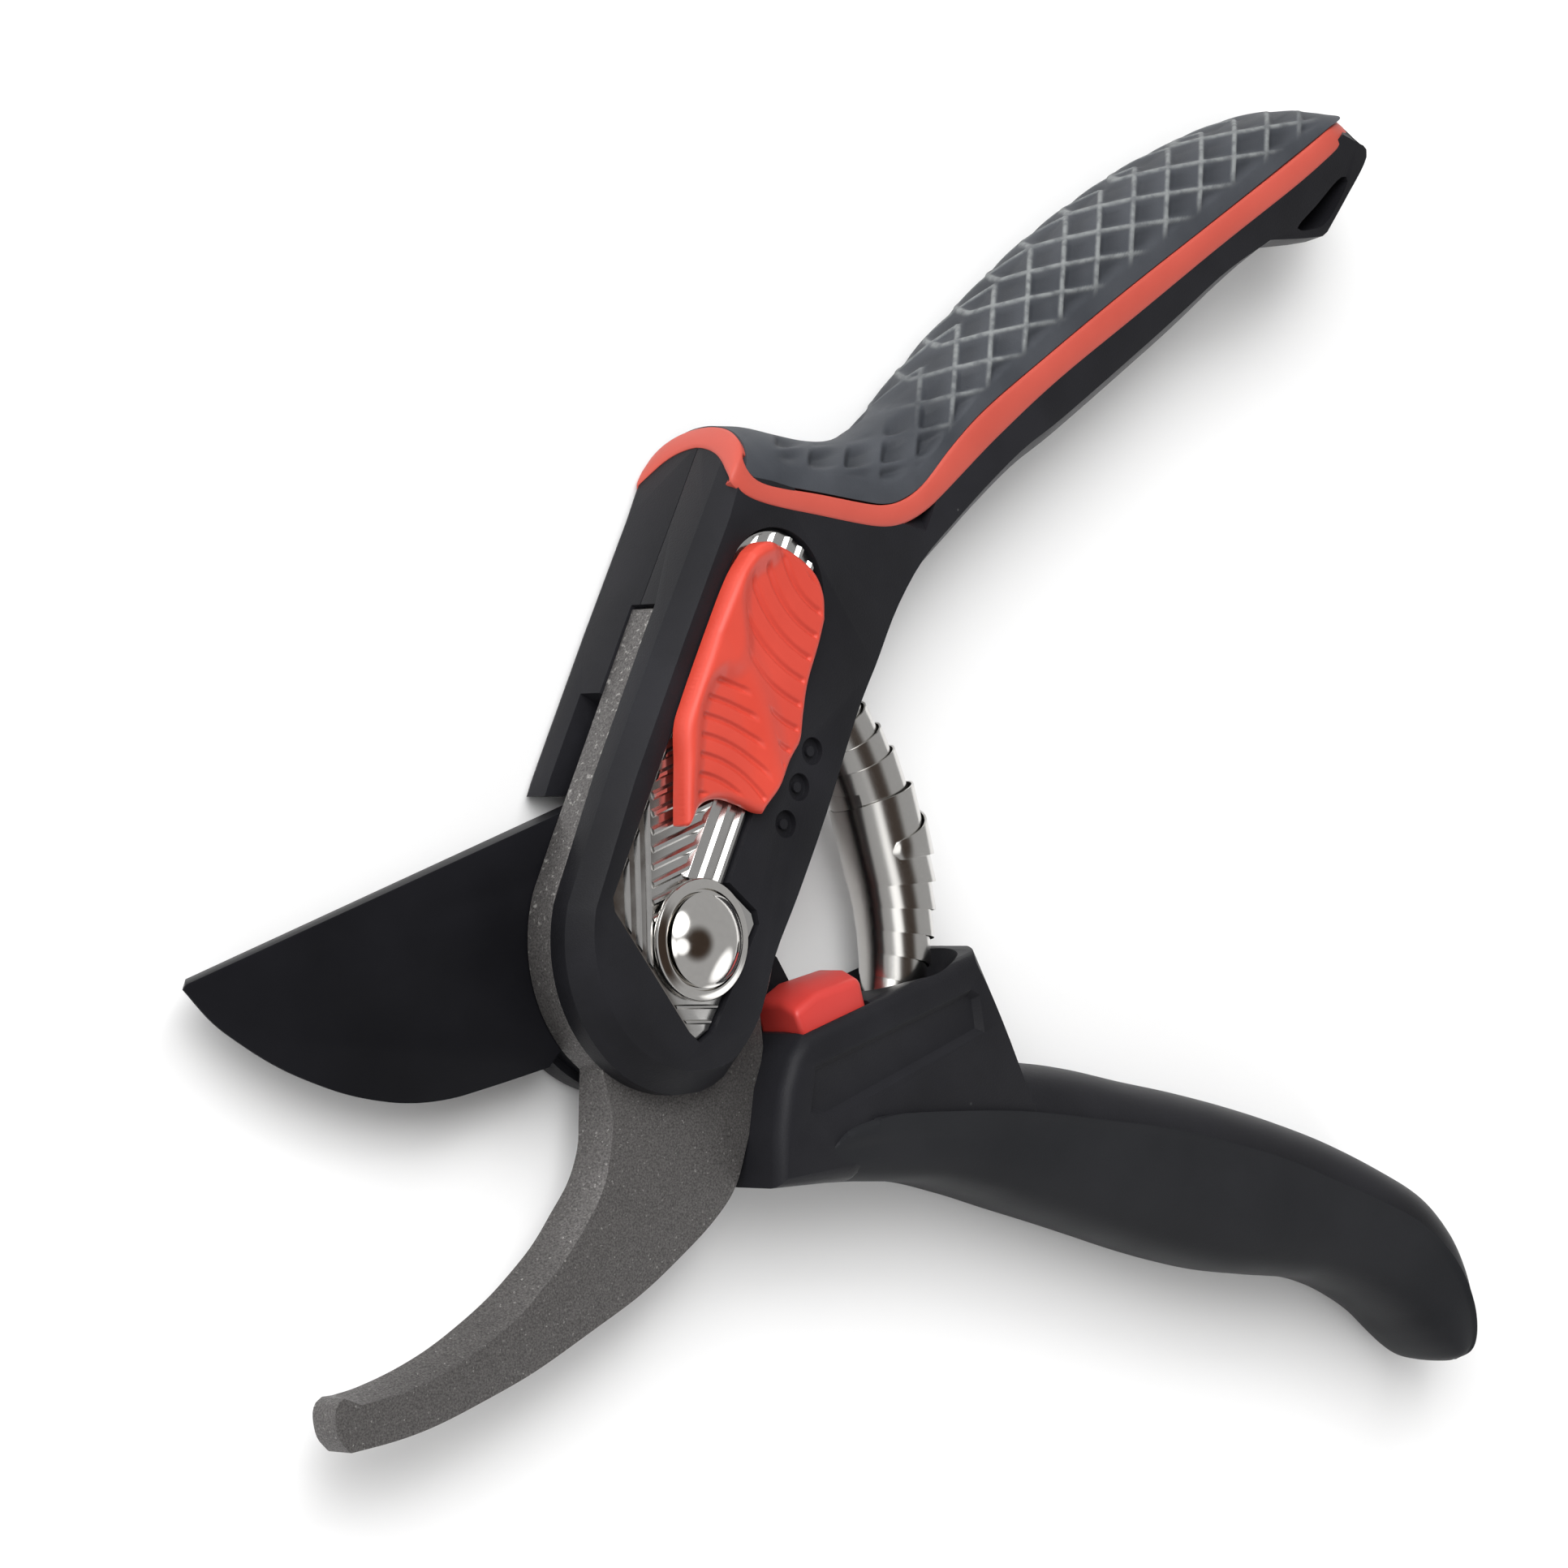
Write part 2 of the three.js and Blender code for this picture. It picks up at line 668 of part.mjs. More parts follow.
function frontWasher() {
  return turned(0, 0, [
    [BOLT_BORE, 16.3], [FLANGE_RADIUS, 16.3], [FLANGE_RADIUS, 16.7], [DOME_RADIUS + 0.4, 17.25],
    [BOLT_BORE, 17.25], [BOLT_BORE, 16.3],
  ], 32);
}
add("pivot_washer_front", frontWasher(), finishes.chrome);
add("pivot_bushing", ring(BOLT_BORE, BUSH_OUTER, BLADE_BACK + 0.1, HOOK_FRONT), finishes.bronze);
add("pivot_washer_rear", ring(BOLT_BORE, 8.6, 2.8, BLADE_BACK - 0.2), finishes.zinc);

function pivotNut() {
  const corner = NUT_FLATS / Math.sqrt(3);
  return rod(0, 0, corner, 0, 2.6, 6).subtract(rod(0, 0, BOLT_BORE, -1, 20, 24));
}
add("pivot_nut", pivotNut(), finishes.zinc);

// ---- lower handle ---------------------------------------------------------------------------

const socketCorner = places([[46.2, -0.8], [50.0, -1.2], [52.0, -4.4]]);
const lowerTop = places([
  [57.3, -14.3], [70.9, -16.2], [92.0, -20.1], [114.0, -26.4], [125.0, -31.4],
]);
const lowerEnd = places([[130.6, -38.4], [132.4, -46.4], [131.6, -51.4], [127.8, -53.2]]);
const lowerBottom = places([
  [127.8, -53.2], [123.6, -50.2], [115.6, -44.8], [105.0, -41.2], [87.0, -39.1],
  [66.0, -34.6], [45.5, -29.5], [28.0, -27.4], [12.6, -28.4],
]);
const lowerLeft = places([[13.1, -23.3], [14.9, -14.4]]);

const lowerOutline = loopOf([
  new THREE.Vector2(15.6, -11.0),
  { through: socketCorner },
  { through: lowerTop },
  { through: lowerEnd },
  { through: lowerBottom.slice(1) },
  { through: lowerLeft },
]);

// The end of the spring block is round about the socket, and widens downwards.
function blockEnd() {
  const cone = new THREE.CylinderGeometry(10.8, 19.6, 17, 40);
  cone.translate(38.3, -8.5, BODY_THICK / 2);
  const corner = places([[38.3, -14.4], [58.5, -14.4], [58.5, 2], [38.3, 2]]);
  return slab(corner, UNDER, OVER).subtract(solidOf(cone));
}

const lowerBody = roundedSlab(lowerOutline, 0, BODY_THICK, 2.0, 2).subtract(blockEnd());

// Where the soft cover starts, seen from the front.
const seam = places([
  [19.6, -29.5], [19.8, -24.7], [24.2, -21.4], [41.8, -19.9], [71.7, -22.0], [94.5, -25.9],
  [115.1, -31.9], [128.0, -37.0], [138, -41],
]);

const coverRegion = loopOf([
  { through: seam },
  new THREE.Vector2(145, -70),
  new THREE.Vector2(18, -70),
]);

const lowerCore = loopOf([
  { through: places([[22.5, -19.6], [41.8, -18.0], [71.7, -20.1], [94.5, -24.0], [114, -30.0]]) },
  { through: places([[124.5, -41.4], [117, -41.0], [104, -36.8], [86, -34.6], [65, -30.2],
    [45, -26.0], [24, -24.6]]) },
]);

const tangPocket = grown([
  new THREE.Vector2(6, -8), new THREE.Vector2(19.5, -6.0), ...tang.slice(1),
  new THREE.Vector2(6, -20),
], GAP);

function bumperLevels(grow) {
  const face = grown(places([
    [15.7, -8.0], [20.0, -6.3], [26.2, -4.5], [27.4, -8.6], [18.2, -12.6],
  ]), grow);
  const belly = grown(places([
    [16.6, -6.9], [20.0, -5.1], [27.0, -3.4], [28.2, -8.8], [18.4, -13.0],
  ]), grow);
  return [
    { z: 7.4 - grow, loop: belly },
    { z: 11.8 + grow, loop: belly },
    { z: 15.2 + grow, loop: face },
  ];
}

function lowerFrame() {
  const socketTop = polar(SPRING_RADIUS, 6);
  const socketFloor = polar(SPRING_RADIUS, SPRING_START - 2.2);
  const socket = rodAlong(
    new THREE.Vector3(socketTop.x + 0.6, socketTop.y, SPRING_HEIGHT),
    new THREE.Vector3(socketFloor.x + 0.6, socketFloor.y, SPRING_HEIGHT), SOCKET_BORE, 28);
  let frame = lowerBody
    .subtract(slab(grown(coverRegion, GAP), UNDER, OVER))
    .add(slab(lowerCore, CORE_BACK, CORE_FRONT))
    .subtract(slab(tangPocket, BLADE_BACK - GAP, BLADE_FRONT + GAP))
    .subtract(socket)
    .subtract(loft(bumperLevels(GAP)));
  for (const { x, y } of tangRivets) {
    frame = frame.subtract(rod(x, y, RIVET.hole, CORE_BACK + 0.4, CORE_FRONT - 0.4, 12));
  }
  return frame;
}
add("lower_handle_frame", lowerFrame(), finishes.nylon);

const coverOuter = loopOf([
  new THREE.Vector2(12, 0),
  new THREE.Vector2(127, 0),
  new THREE.Vector2(129.5, -34),
  { through: lowerEnd },
  { through: lowerBottom.slice(1) },
]);

function lowerCover() {
  const rounded = roundedSlab(coverOuter, 0, BODY_THICK, COVER_ROUND, 3);
  return rounded
    .intersect(slab(coverRegion, UNDER, OVER))
    .subtract(slab(grown(lowerCore, GAP), CORE_BACK - GAP, CORE_FRONT + GAP))
    .subtract(slab(tangPocket, BLADE_BACK - GAP, BLADE_FRONT + GAP));
}
add("lower_grip_cover", lowerCover(), finishes.softBlack);
add("closing_bumper", loft(bumperLevels(0)), finishes.bumper);

function tangRivet({ x, y }) {
  return rod(x, y, RIVET.radius, CORE_BACK + 0.7, CORE_FRONT - 0.7, 12);
}
tangRivets.forEach((place, i) => add(`tang_rivet_${i + 1}`, tangRivet(place), finishes.zinc));

// ---- volute spring --------------------------------------------------------------------------

// A hollow double cone on an arc about the pivot, widest halfway, standing for the wound strip.
function voluteSpring() {
  const stations = 16;
  const sides = 14;
  const wall = 1.4;
  const waist = 5.3;
  const tip = 3.7;
  const position = [];
  const index = [];
  for (let i = 0; i <= stations; i += 1) {
    const t = i / stations;
    const degrees = SPRING_START + (SPRING_END - SPRING_START) * t;
    const outer = tip + (waist - tip) * Math.sin(Math.PI * t);
    for (const radius of [outer, outer - wall]) {
      for (let j = 0; j < sides; j += 1) {
        const around = 2 * Math.PI * j / sides;
        const place = polar(SPRING_RADIUS + radius * Math.cos(around), degrees);
        position.push(place.x, place.y, SPRING_HEIGHT + radius * Math.sin(around));
      }
    }
  }
  const at = (i, skin, j) => (i * 2 + skin) * sides + (j % sides);
  const quad = (a, b, c, d) => index.push(a, b, c, a, c, d);
  for (let i = 0; i < stations; i += 1) {
    for (let j = 0; j < sides; j += 1) {
      quad(at(i, 0, j), at(i, 0, j + 1), at(i + 1, 0, j + 1), at(i + 1, 0, j));
      quad(at(i, 1, j), at(i + 1, 1, j), at(i + 1, 1, j + 1), at(i, 1, j + 1));
    }
  }
  for (let j = 0; j < sides; j += 1) {
    quad(at(0, 0, j), at(0, 1, j), at(0, 1, j + 1), at(0, 0, j + 1));
    quad(at(stations, 0, j), at(stations, 0, j + 1), at(stations, 1, j + 1), at(stations, 1, j));
  }
  for (let i = 0; i < index.length; i += 3) {
    [index[i + 1], index[i + 2]] = [index[i + 2], index[i + 1]];
  }
  return solidFrom(position, index);
}
add("volute_spring", voluteSpring(), finishes.steel);

export default group;
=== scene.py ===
"""Looks of a bypass pruner lying on its back with the jaws open.

Lengths are in millimetres until a mesh is made. X runs along the lower handle, Y towards the
upper handle and Z along the pivot bolt, from the back of the tool to its front.
"""

import json
import math

import bmesh
import bpy
import numpy as np
from mathutils import Matrix, Vector
from mathutils.kdtree import KDTree

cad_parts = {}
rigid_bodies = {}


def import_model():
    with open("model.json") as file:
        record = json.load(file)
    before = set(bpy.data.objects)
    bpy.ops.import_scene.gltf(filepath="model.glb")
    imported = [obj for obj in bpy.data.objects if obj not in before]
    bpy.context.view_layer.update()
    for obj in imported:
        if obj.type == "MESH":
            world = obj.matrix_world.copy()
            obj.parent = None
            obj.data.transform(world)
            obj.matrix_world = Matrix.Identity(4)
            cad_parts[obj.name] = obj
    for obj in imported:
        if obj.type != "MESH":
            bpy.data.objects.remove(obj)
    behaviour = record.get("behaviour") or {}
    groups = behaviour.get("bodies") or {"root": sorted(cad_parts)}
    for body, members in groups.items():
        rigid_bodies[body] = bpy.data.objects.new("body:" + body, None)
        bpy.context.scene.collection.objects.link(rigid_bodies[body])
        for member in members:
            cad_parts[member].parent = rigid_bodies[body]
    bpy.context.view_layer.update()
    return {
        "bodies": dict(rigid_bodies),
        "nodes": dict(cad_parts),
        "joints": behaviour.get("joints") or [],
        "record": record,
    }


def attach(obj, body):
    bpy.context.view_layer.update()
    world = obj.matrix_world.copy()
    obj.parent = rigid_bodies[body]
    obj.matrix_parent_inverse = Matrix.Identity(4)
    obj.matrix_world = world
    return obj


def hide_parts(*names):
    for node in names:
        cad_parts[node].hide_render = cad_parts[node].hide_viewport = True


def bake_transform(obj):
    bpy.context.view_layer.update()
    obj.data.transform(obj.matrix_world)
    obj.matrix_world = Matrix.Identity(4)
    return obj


MM = 0.001
LEAN = math.radians(25)          # lean of the head from +Y towards +X
THICK = 16.5                     # housing, back to front
MID = THICK / 2
TURN = 2 * math.pi

# ---- shapes of lines ------------------------------------------------------------------------


def head(across, along):
    """A place given across and along the leaning head."""
    across, along = np.asarray(across, float), np.asarray(along, float)
    return np.stack([
        across * math.cos(LEAN) + along * math.sin(LEAN),
        along * math.cos(LEAN) - across * math.sin(LEAN),
    ], axis=-1)


def arc(radius, start, end, count, centre=(0, 0)):
    """Points on a circle between two angles in degrees."""
    angle = np.radians(np.linspace(start, end, count))
    points = np.stack([np.cos(angle), np.sin(angle)], axis=-1) * radius
    return points + np.asarray(centre, float)


def spaced(points, count):
    """The same line with evenly spaced points."""
    points = np.asarray(points, float)
    step = np.linalg.norm(np.diff(points[:, :2], axis=0), axis=1)
    along = np.concatenate([[0], np.cumsum(step)])
    at = np.linspace(0, along[-1], count)
    return np.stack([np.interp(at, along, points[:, k]) for k in range(points.shape[1])], axis=-1)


def spline(points, count, closed=False):
    """A smooth line through the points, with evenly spaced places on it."""
    points = np.asarray(points, float)
    if closed:
        whole = np.vstack([points[-1:], points, points[:2]])
    else:
        whole = np.vstack([2 * points[0] - points[1], points, 2 * points[-1] - points[-2]])
    pieces = []
    for i in range(1, len(whole) - 2):
        p0, p1, p2, p3 = whole[i - 1:i + 3]
        t = np.linspace(0, 1, 24, endpoint=False)[:, None]
        pieces.append(0.5 * (2 * p1 + (p2 - p0) * t + (2 * p0 - 5 * p1 + 4 * p2 - p3) * t ** 2
                             + (3 * p1 - p0 - 3 * p2 + p3) * t ** 3))
    pieces.append(whole[-2:-1])
    line = np.vstack(pieces)
    if closed:
        return spaced(line, count + 1)[:-1]
    return spaced(line, count)


def joined(*lines):
    """Lines end to end as one closed loop, without repeated points."""
    loop = np.vstack([np.atleast_2d(line) for line in lines])
    keep = np.linalg.norm(loop[:, :2] - np.roll(loop[:, :2], -1, axis=0), axis=1) > 0.02
    return loop[keep]


def area(loop):
    x, y = loop[:, 0], loop[:, 1]
    return 0.5 * np.sum(x * np.roll(y, -1) - np.roll(x, -1) * y)


def unit(vectors):
    """The same directions with a length of one."""
    return vectors / np.maximum(np.linalg.norm(vectors, axis=-1, keepdims=True), 1e-9)


def moved_out(loop, distance):
    """A closed loop moved outwards by a distance, which may differ from point to point."""
    before = unit(loop[:, :2] - np.roll(loop[:, :2], 1, axis=0))
    after = unit(np.roll(loop[:, :2], -1, axis=0) - loop[:, :2])
    normal = unit(np.stack([before[:, 1] + after[:, 1], -before[:, 0] - after[:, 0]], axis=-1))
    reach = np.maximum(0.75, normal[:, 0] * after[:, 1] - normal[:, 1] * after[:, 0])
    sign = 1 if area(loop) > 0 else -1
    return loop[:, :2] + normal * (sign * np.asarray(distance) / reach)[..., None]


def at_height(loop, z):
    return np.column_stack([loop[:, :2], np.full(len(loop), 1.0) * z])


# ---- meshes ---------------------------------------------------------------------------------

SMOOTH_UNDER = math.radians(38)


def added(name, data):
    """An object put into the scene."""
    obj = bpy.data.objects.new(name, data)
    bpy.context.scene.collection.objects.link(obj)
    return obj


def piece(name, vertices, faces, smooth_under=SMOOTH_UNDER):
    """A mesh object from places in millimetres, with its faces turned outwards."""
    mesh = bpy.data.meshes.new(name)
    mesh.from_pydata((np.asarray(vertices, float) * MM).tolist(), [], [list(f) for f in faces])
    builder = bmesh.new()
    builder.from_mesh(mesh)
    bmesh.ops.recalc_face_normals(builder, faces=builder.faces)
    builder.to_mesh(mesh)
    builder.free()
    obj = added(name, mesh)
    soften(obj, smooth_under)
    return obj


def soften(obj, smooth_under=SMOOTH_UNDER):
    """Smooth shading, with edges sharper than an angle kept sharp."""
    mesh = obj.data
    mesh.polygons.foreach_set("use_smooth", [True] * len(mesh.polygons))
    mesh.set_sharp_from_angle(angle=smooth_under)
    mesh.update()


def loft(name, rings, closed=False, smooth_under=SMOOTH_UNDER):
    """A skin over rings with equal counts. Closed joins the last ring to the first."""
    count = len(rings[0])
    vertices = np.vstack(rings)
    faces = []
    pairs = len(rings) if closed else len(rings) - 1
    for k in range(pairs):
        low, high = k * count, (k + 1) % len(rings) * count
        for i in range(count):
            j = (i + 1) % count
            faces.append((low + i, low + j, high + j, high + i))
    if not closed:
        faces.append(tuple(range(count))[::-1])
        faces.append(tuple(range(len(vertices) - count, len(vertices))))
    return piece(name, vertices, faces, smooth_under)


def stack(name, *layers):
    """A skin over outlines that each lie at a height."""
    return loft(name, [at_height(loop, z) for loop, z in layers])


def prism(name, loop, bottom, top):
    return stack(name, (loop, bottom), (loop, top))


def rounded_prism(name, loop, bottom, top, size, steps):
    """A prism whose upper and lower edges are rounded over."""
    lower_half, upper_half = [], []
    for turn in np.linspace(0, math.pi / 2, steps + 1):
        line = moved_out(loop, -size * (1 - math.sin(turn)))
        rise = size * (1 - math.cos(turn))
        lower_half.append(at_height(line, bottom + rise))
        upper_half.append(at_height(line, top - rise))
    return loft(name, lower_half + upper_half[::-1])


def turned(name, profile, sides):
    """A body of revolution about Z from (radius, height) pairs, closed at radius zero."""
    angle = np.linspace(0, TURN, sides, endpoint=False)
    ring = np.stack([np.cos(angle), np.sin(angle)], axis=-1)
    return stack(name, *[(ring * max(r, 0.01), z) for r, z in profile])


def rod(name, start, end, start_radius, end_radius=None, sides=48):
    """A straight rod or cone between two places."""
    end_radius = start_radius if end_radius is None else end_radius
    a, b = np.asarray(start, float), np.asarray(end, float)
    axis = unit(b - a)
    side = unit(np.cross(axis, [0, 0, 1] if abs(axis[2]) < 0.9 else [1, 0, 0]))
    other = np.cross(axis, side)
    angle = np.linspace(0, TURN, sides, endpoint=False)[:, None]
    circle = np.cos(angle) * side + np.sin(angle) * other
    return loft(name, [a + circle * start_radius, b + circle * end_radius])


def settle(obj, smooth_under=SMOOTH_UNDER):
    """Keeps what the modifiers made and drops them."""
    graph = bpy.context.evaluated_depsgraph_get()
    mesh = bpy.data.meshes.new_from_object(obj.evaluated_get(graph))
    obj.modifiers.clear()
    obj.data = mesh
    soften(obj, smooth_under)


def combine(obj, other, operation):
    modifier = obj.modifiers.new("cut", "BOOLEAN")
    modifier.operation = operation
    modifier.solver = "EXACT"
    modifier.object = other
    settle(obj)
    bpy.data.objects.remove(other)
    return obj


def cut(obj, *others):
    for other in others:
        combine(obj, other, "DIFFERENCE")
    return obj


def weld(obj, *others):
    for other in others:
        combine(obj, other, "UNION")
    return obj


def keep_inside(obj, other):
    return combine(obj, other, "INTERSECT")


def rounded_edges(obj, width, segments, angle):
    """Rounds every edge that turns more than an angle."""
    modifier = obj.modifiers.new("round", "BEVEL")
    modifier.width = width * MM
    modifier.segments = segments
    modifier.limit_method = "ANGLE"
    modifier.angle_limit = math.radians(angle)
    modifier.use_clamp_overlap = True
    modifier.miter_outer = "MITER_ARC"
    settle(obj, math.radians(50))
    return obj


def join(name, objects):
    """Several meshes as one object."""
    builder = bmesh.new()
    for obj in objects:
        builder.from_mesh(obj.data)
        bpy.data.objects.remove(obj)
    mesh = bpy.data.meshes.new(name)
    builder.to_mesh(mesh)
    builder.free()
    obj = added(name, mesh)
    soften(obj)
    return obj


# ---- lines of the upper handle --------------------------------------------------------------

PARTING = 8.6
PARTING_GAP = 0.12
SLOT_BACK = 7.05                 # slot of the counter blade, open in the head's left wall
SLOT_FRONT = 11.05
HEAD_RADIUS = 17.5
WELL_FLOOR = 15.1                # sunk face that the guide plate lies on
NUT_WELL_RADIUS = 9.6
SCREW_WELL_RADIUS = 2.05
SCREW_WELL_DEPTH = 2.7
ICON_RADIUS, ICON_DEPTH = 1.6, 0.8
DOT_RADIUS, DOT_DEPTH = 0.6, 0.3
POCKET_RADIUS = 5.8

# Outer edge of the housing, with the width of its front chamfer, from the left wall round the
# bottom and up the hand side to the lanyard spur.
ROUND_END = np.column_stack([arc(HEAD_RADIUS, 160, 266, 30), np.linspace(1.5, 2.8, 30)])
HAND_SIDE = [
    (2.6, -17.1, 2.7), (5.8, -15.8, 2.4), (8.3, -13.0, 1.9), (10.3, -8.6, 1.1), (11.9, -2.0, 0.5),
    (15.5, 5.3, 0.35), (19.9, 14.6, 0.35), (24.6, 25.8, 0.35), (27.8, 31.8, 0.4), (30.6, 36.4, 0.9),
    (33.4, 39.6, 1.6), (36.6, 43.1, 1.9), (41.5, 47.3, 2.0), (46.5, 51.5, 2.0), (52.4, 56.0, 2.0),
    (59.2, 60.2, 2.0), (72.9, 69.4, 2.0), (80.0, 74.3, 2.0), (87.1, 79.5, 1.8), (94.4, 84.5, 1.0),
]
SPUR = [(94.9, 84.8, 0.7), (99.8, 85.4, 0.6), (103.6, 86.1, 0.5)]
SPUR_END = [(104.6, 86.8, 0.5), (108.0, 91.2, 0.5), (111.6, 95.9, 0.6), (112.6, 98.0, 1.2),
            (111.8, 99.9, 2.0), (109.6, 101.2, 2.2)]

STRIPE_INNER = [
    (5.3, 50.5), (8.7, 49.5), (12.5, 48.9), (17.5, 48.4), (23.9, 47.7), (28.6, 47.4), (31.9, 48.0),
    (36.0, 50.1), (41.0, 54.0), (46.9, 58.7), (57.0, 66.0), (70.8, 74.8), (85.0, 83.9), (99.5, 92.9),
    (107.7, 98.6),
]
STRIPE_OUTER = [
    (6.8, 53.0), (8.5, 51.8), (12.4, 51.2), (18.0, 50.8), (23.9, 50.2), (28.2, 49.9), (31.2, 50.5),
    (34.6, 52.4), (39.3, 57.1), (45.0, 61.9), (55.0, 68.6), (68.6, 77.4), (83.0, 86.3),
    (97.4, 95.2), (105.1, 100.2),
]

# The thumb hump's top as an arch across the thickness: (height, place along the head).
ARCH = [(-0.6, 48.6), (0.1, 49.3), (1.7, 50.7), (3.3, 51.9), (5.5, 53.0), (8.0, 53.6), (10.1, 53.4),
        (12.2, 52.6), (13.7, 51.3), (15.0, 49.8), (16.6, 48.2), (17.4, 47.8)]


def upper_outline():
    """Outer edge of both shells, running on under the stripe at its upper side."""
    under_stripe = spline(STRIPE_INNER, 90)[::-1]
    sink = np.array([-0.55, 0.85])
    left = head([-17.4, -17.55, -17.8, -17.85], [60, 45, 30, 12])
    return joined(
        np.column_stack([left, np.full(4, 1.5)])[1:],
        ROUND_END[2:],
        spline(HAND_SIDE, 70),
        spline(SPUR, 6),
        spline(SPUR_END, 16),
        np.column_stack([under_stripe + sink, np.full(90, 0.05)])[:-7],
        np.array([[18.0, 59.0, 0.05]]),
        np.column_stack([left[:1], [0.05]]),
    )


def housing(name, bottom, top, chamfer_depth, share):
    """Half of the housing. The chamfer lies at the face that is away from the parting line."""
    outline = upper_outline()
    narrow = moved_out(outline, -outline[:, 2] * share)
    if top > PARTING:
        return stack(name, (outline, bottom), (outline, top - chamfer_depth), (narrow, top))
    return stack(name, (narrow, bottom), (outline, bottom + chamfer_depth), (outline, top))


def above_arch():
    """Everything over the thumb hump's arch, to cut the housing with. It rises from the left wall."""
    profile = spline(ARCH, 40)
    rings = []
    for across, rise in ((-30.0, 0.0), (-17.6, 0.0), (-15.5, 2.2), (-12.0, 3.4), (12.0, 9.5)):
        along = np.concatenate([profile[:, 1] + rise, [75.0, 75.0]])
        heights = np.concatenate([profile[:, 0], [18.5, -2.0]])
        rings.append(np.column_stack([head(np.full(len(along), across), along), heights]))
    return loft("above_arch", rings)


def head_box(across, along, bottom, top):
    """A box along the head's own axes, to cut with."""
    corners = head([across[0], across[1], across[1], across[0]],
                   [along[0], along[0], along[1], along[1]])
    return prism("box", corners, bottom, top)


PLATE = joined(
    head([-13.4], [-1.2]),
    arc(7.15, 155, -25, 26, head(-6.2, 40.4)),
    head([0.95, 0.95, 6.2, 7.1, 5.9, 4.8, 3.2, -12.6], [20, 7.4, 6.3, 5.2, -8.4, -10.1, -9.8, -2.3]),
)
LANYARD = spline([(98.8, 87.2), (101.7, 87.3), (104.4, 88.6), (107.9, 93.4), (106.6, 94.0),
                  (102.4, 90.4)], 30, closed=True)
ICONS = [(6.5, 26.7), (6.4, 22.1), (6.3, 17.4)]
SCREWS = [head(-9, 39), np.array([52.5, 59.0]), np.array([93.6, 86.4])]
SPRING_RADIUS = 38.0
SPRING_HEIGHT = 8.5


def on_spring_arc(degrees):
    a = math.radians(degrees)
    return (SPRING_RADIUS * math.cos(a), SPRING_RADIUS * math.sin(a), SPRING_HEIGHT)


def spring_pocket():
    return rod("pocket", on_spring_arc(37), on_spring_arc(54.3), POCKET_RADIUS)


def front_shell():
    """The front half, with the sunk face of the guide plate and the three icons."""
    shell = housing("shell_front", PARTING, THICK, 3.0, 1.0)
    cut(shell, above_arch(),
        head_box((-40, 40), (-40, 24), 0, SLOT_FRONT),
        head_box((-30, 16), (-20, 33.4), 0, SLOT_FRONT),
        prism("well", moved_out(PLATE, 0.35), WELL_FLOOR, 20),
        prism("eye", LANYARD, -1, 20),
        spring_pocket())
    for across, along in ICONS:
        x, y = head(across, along)
        ring = rod("icon", (x, y, THICK - ICON_DEPTH), (x, y, 18), ICON_RADIUS, sides=32)
        cut(shell, cut(ring, rod("dot", (x, y, 15), (x, y, THICK - DOT_DEPTH), DOT_RADIUS, sides=20)))
    return rounded_edges(shell, 0.32, 3, 24)


def rear_shell():
    """The rear half, with a notch for the blade and wells for the nut and the screws."""
    shell = housing("shell_rear", 0.0, PARTING - PARTING_GAP, 0.8, 0.35)
    notch = np.array([[-30, 16.1], [-9.3, 16.1], [-4.0, 18.2], [-4.0, 14.7], [-30, 5.0]])
    cut(shell, above_arch(),
        head_box((-40, 40), (-40, 22.3), 3.8, 20),
        head_box((-30, 16), (-20, 33.4), SLOT_BACK, 20),
        prism("notch", notch, -1, 4.2),
        rod("nut_well", (0, 0, -1), (0, 0, 20), NUT_WELL_RADIUS, sides=64),
        prism("eye", LANYARD, -1, 20),
        spring_pocket())
    for x, y in SCREWS:
        cut(shell, rod("screw_well", (x, y, -1), (x, y, SCREW_WELL_DEPTH), SCREW_WELL_RADIUS, sides=32))
    return rounded_edges(shell, 0.3, 2, 24)


# ---- stripe and soft grip -------------------------------------------------------------------

def mirrored(points):
    """The same places seen from the back: heights measured from the other face."""
    return np.column_stack([points[:, :2], THICK - points[:, 2]])


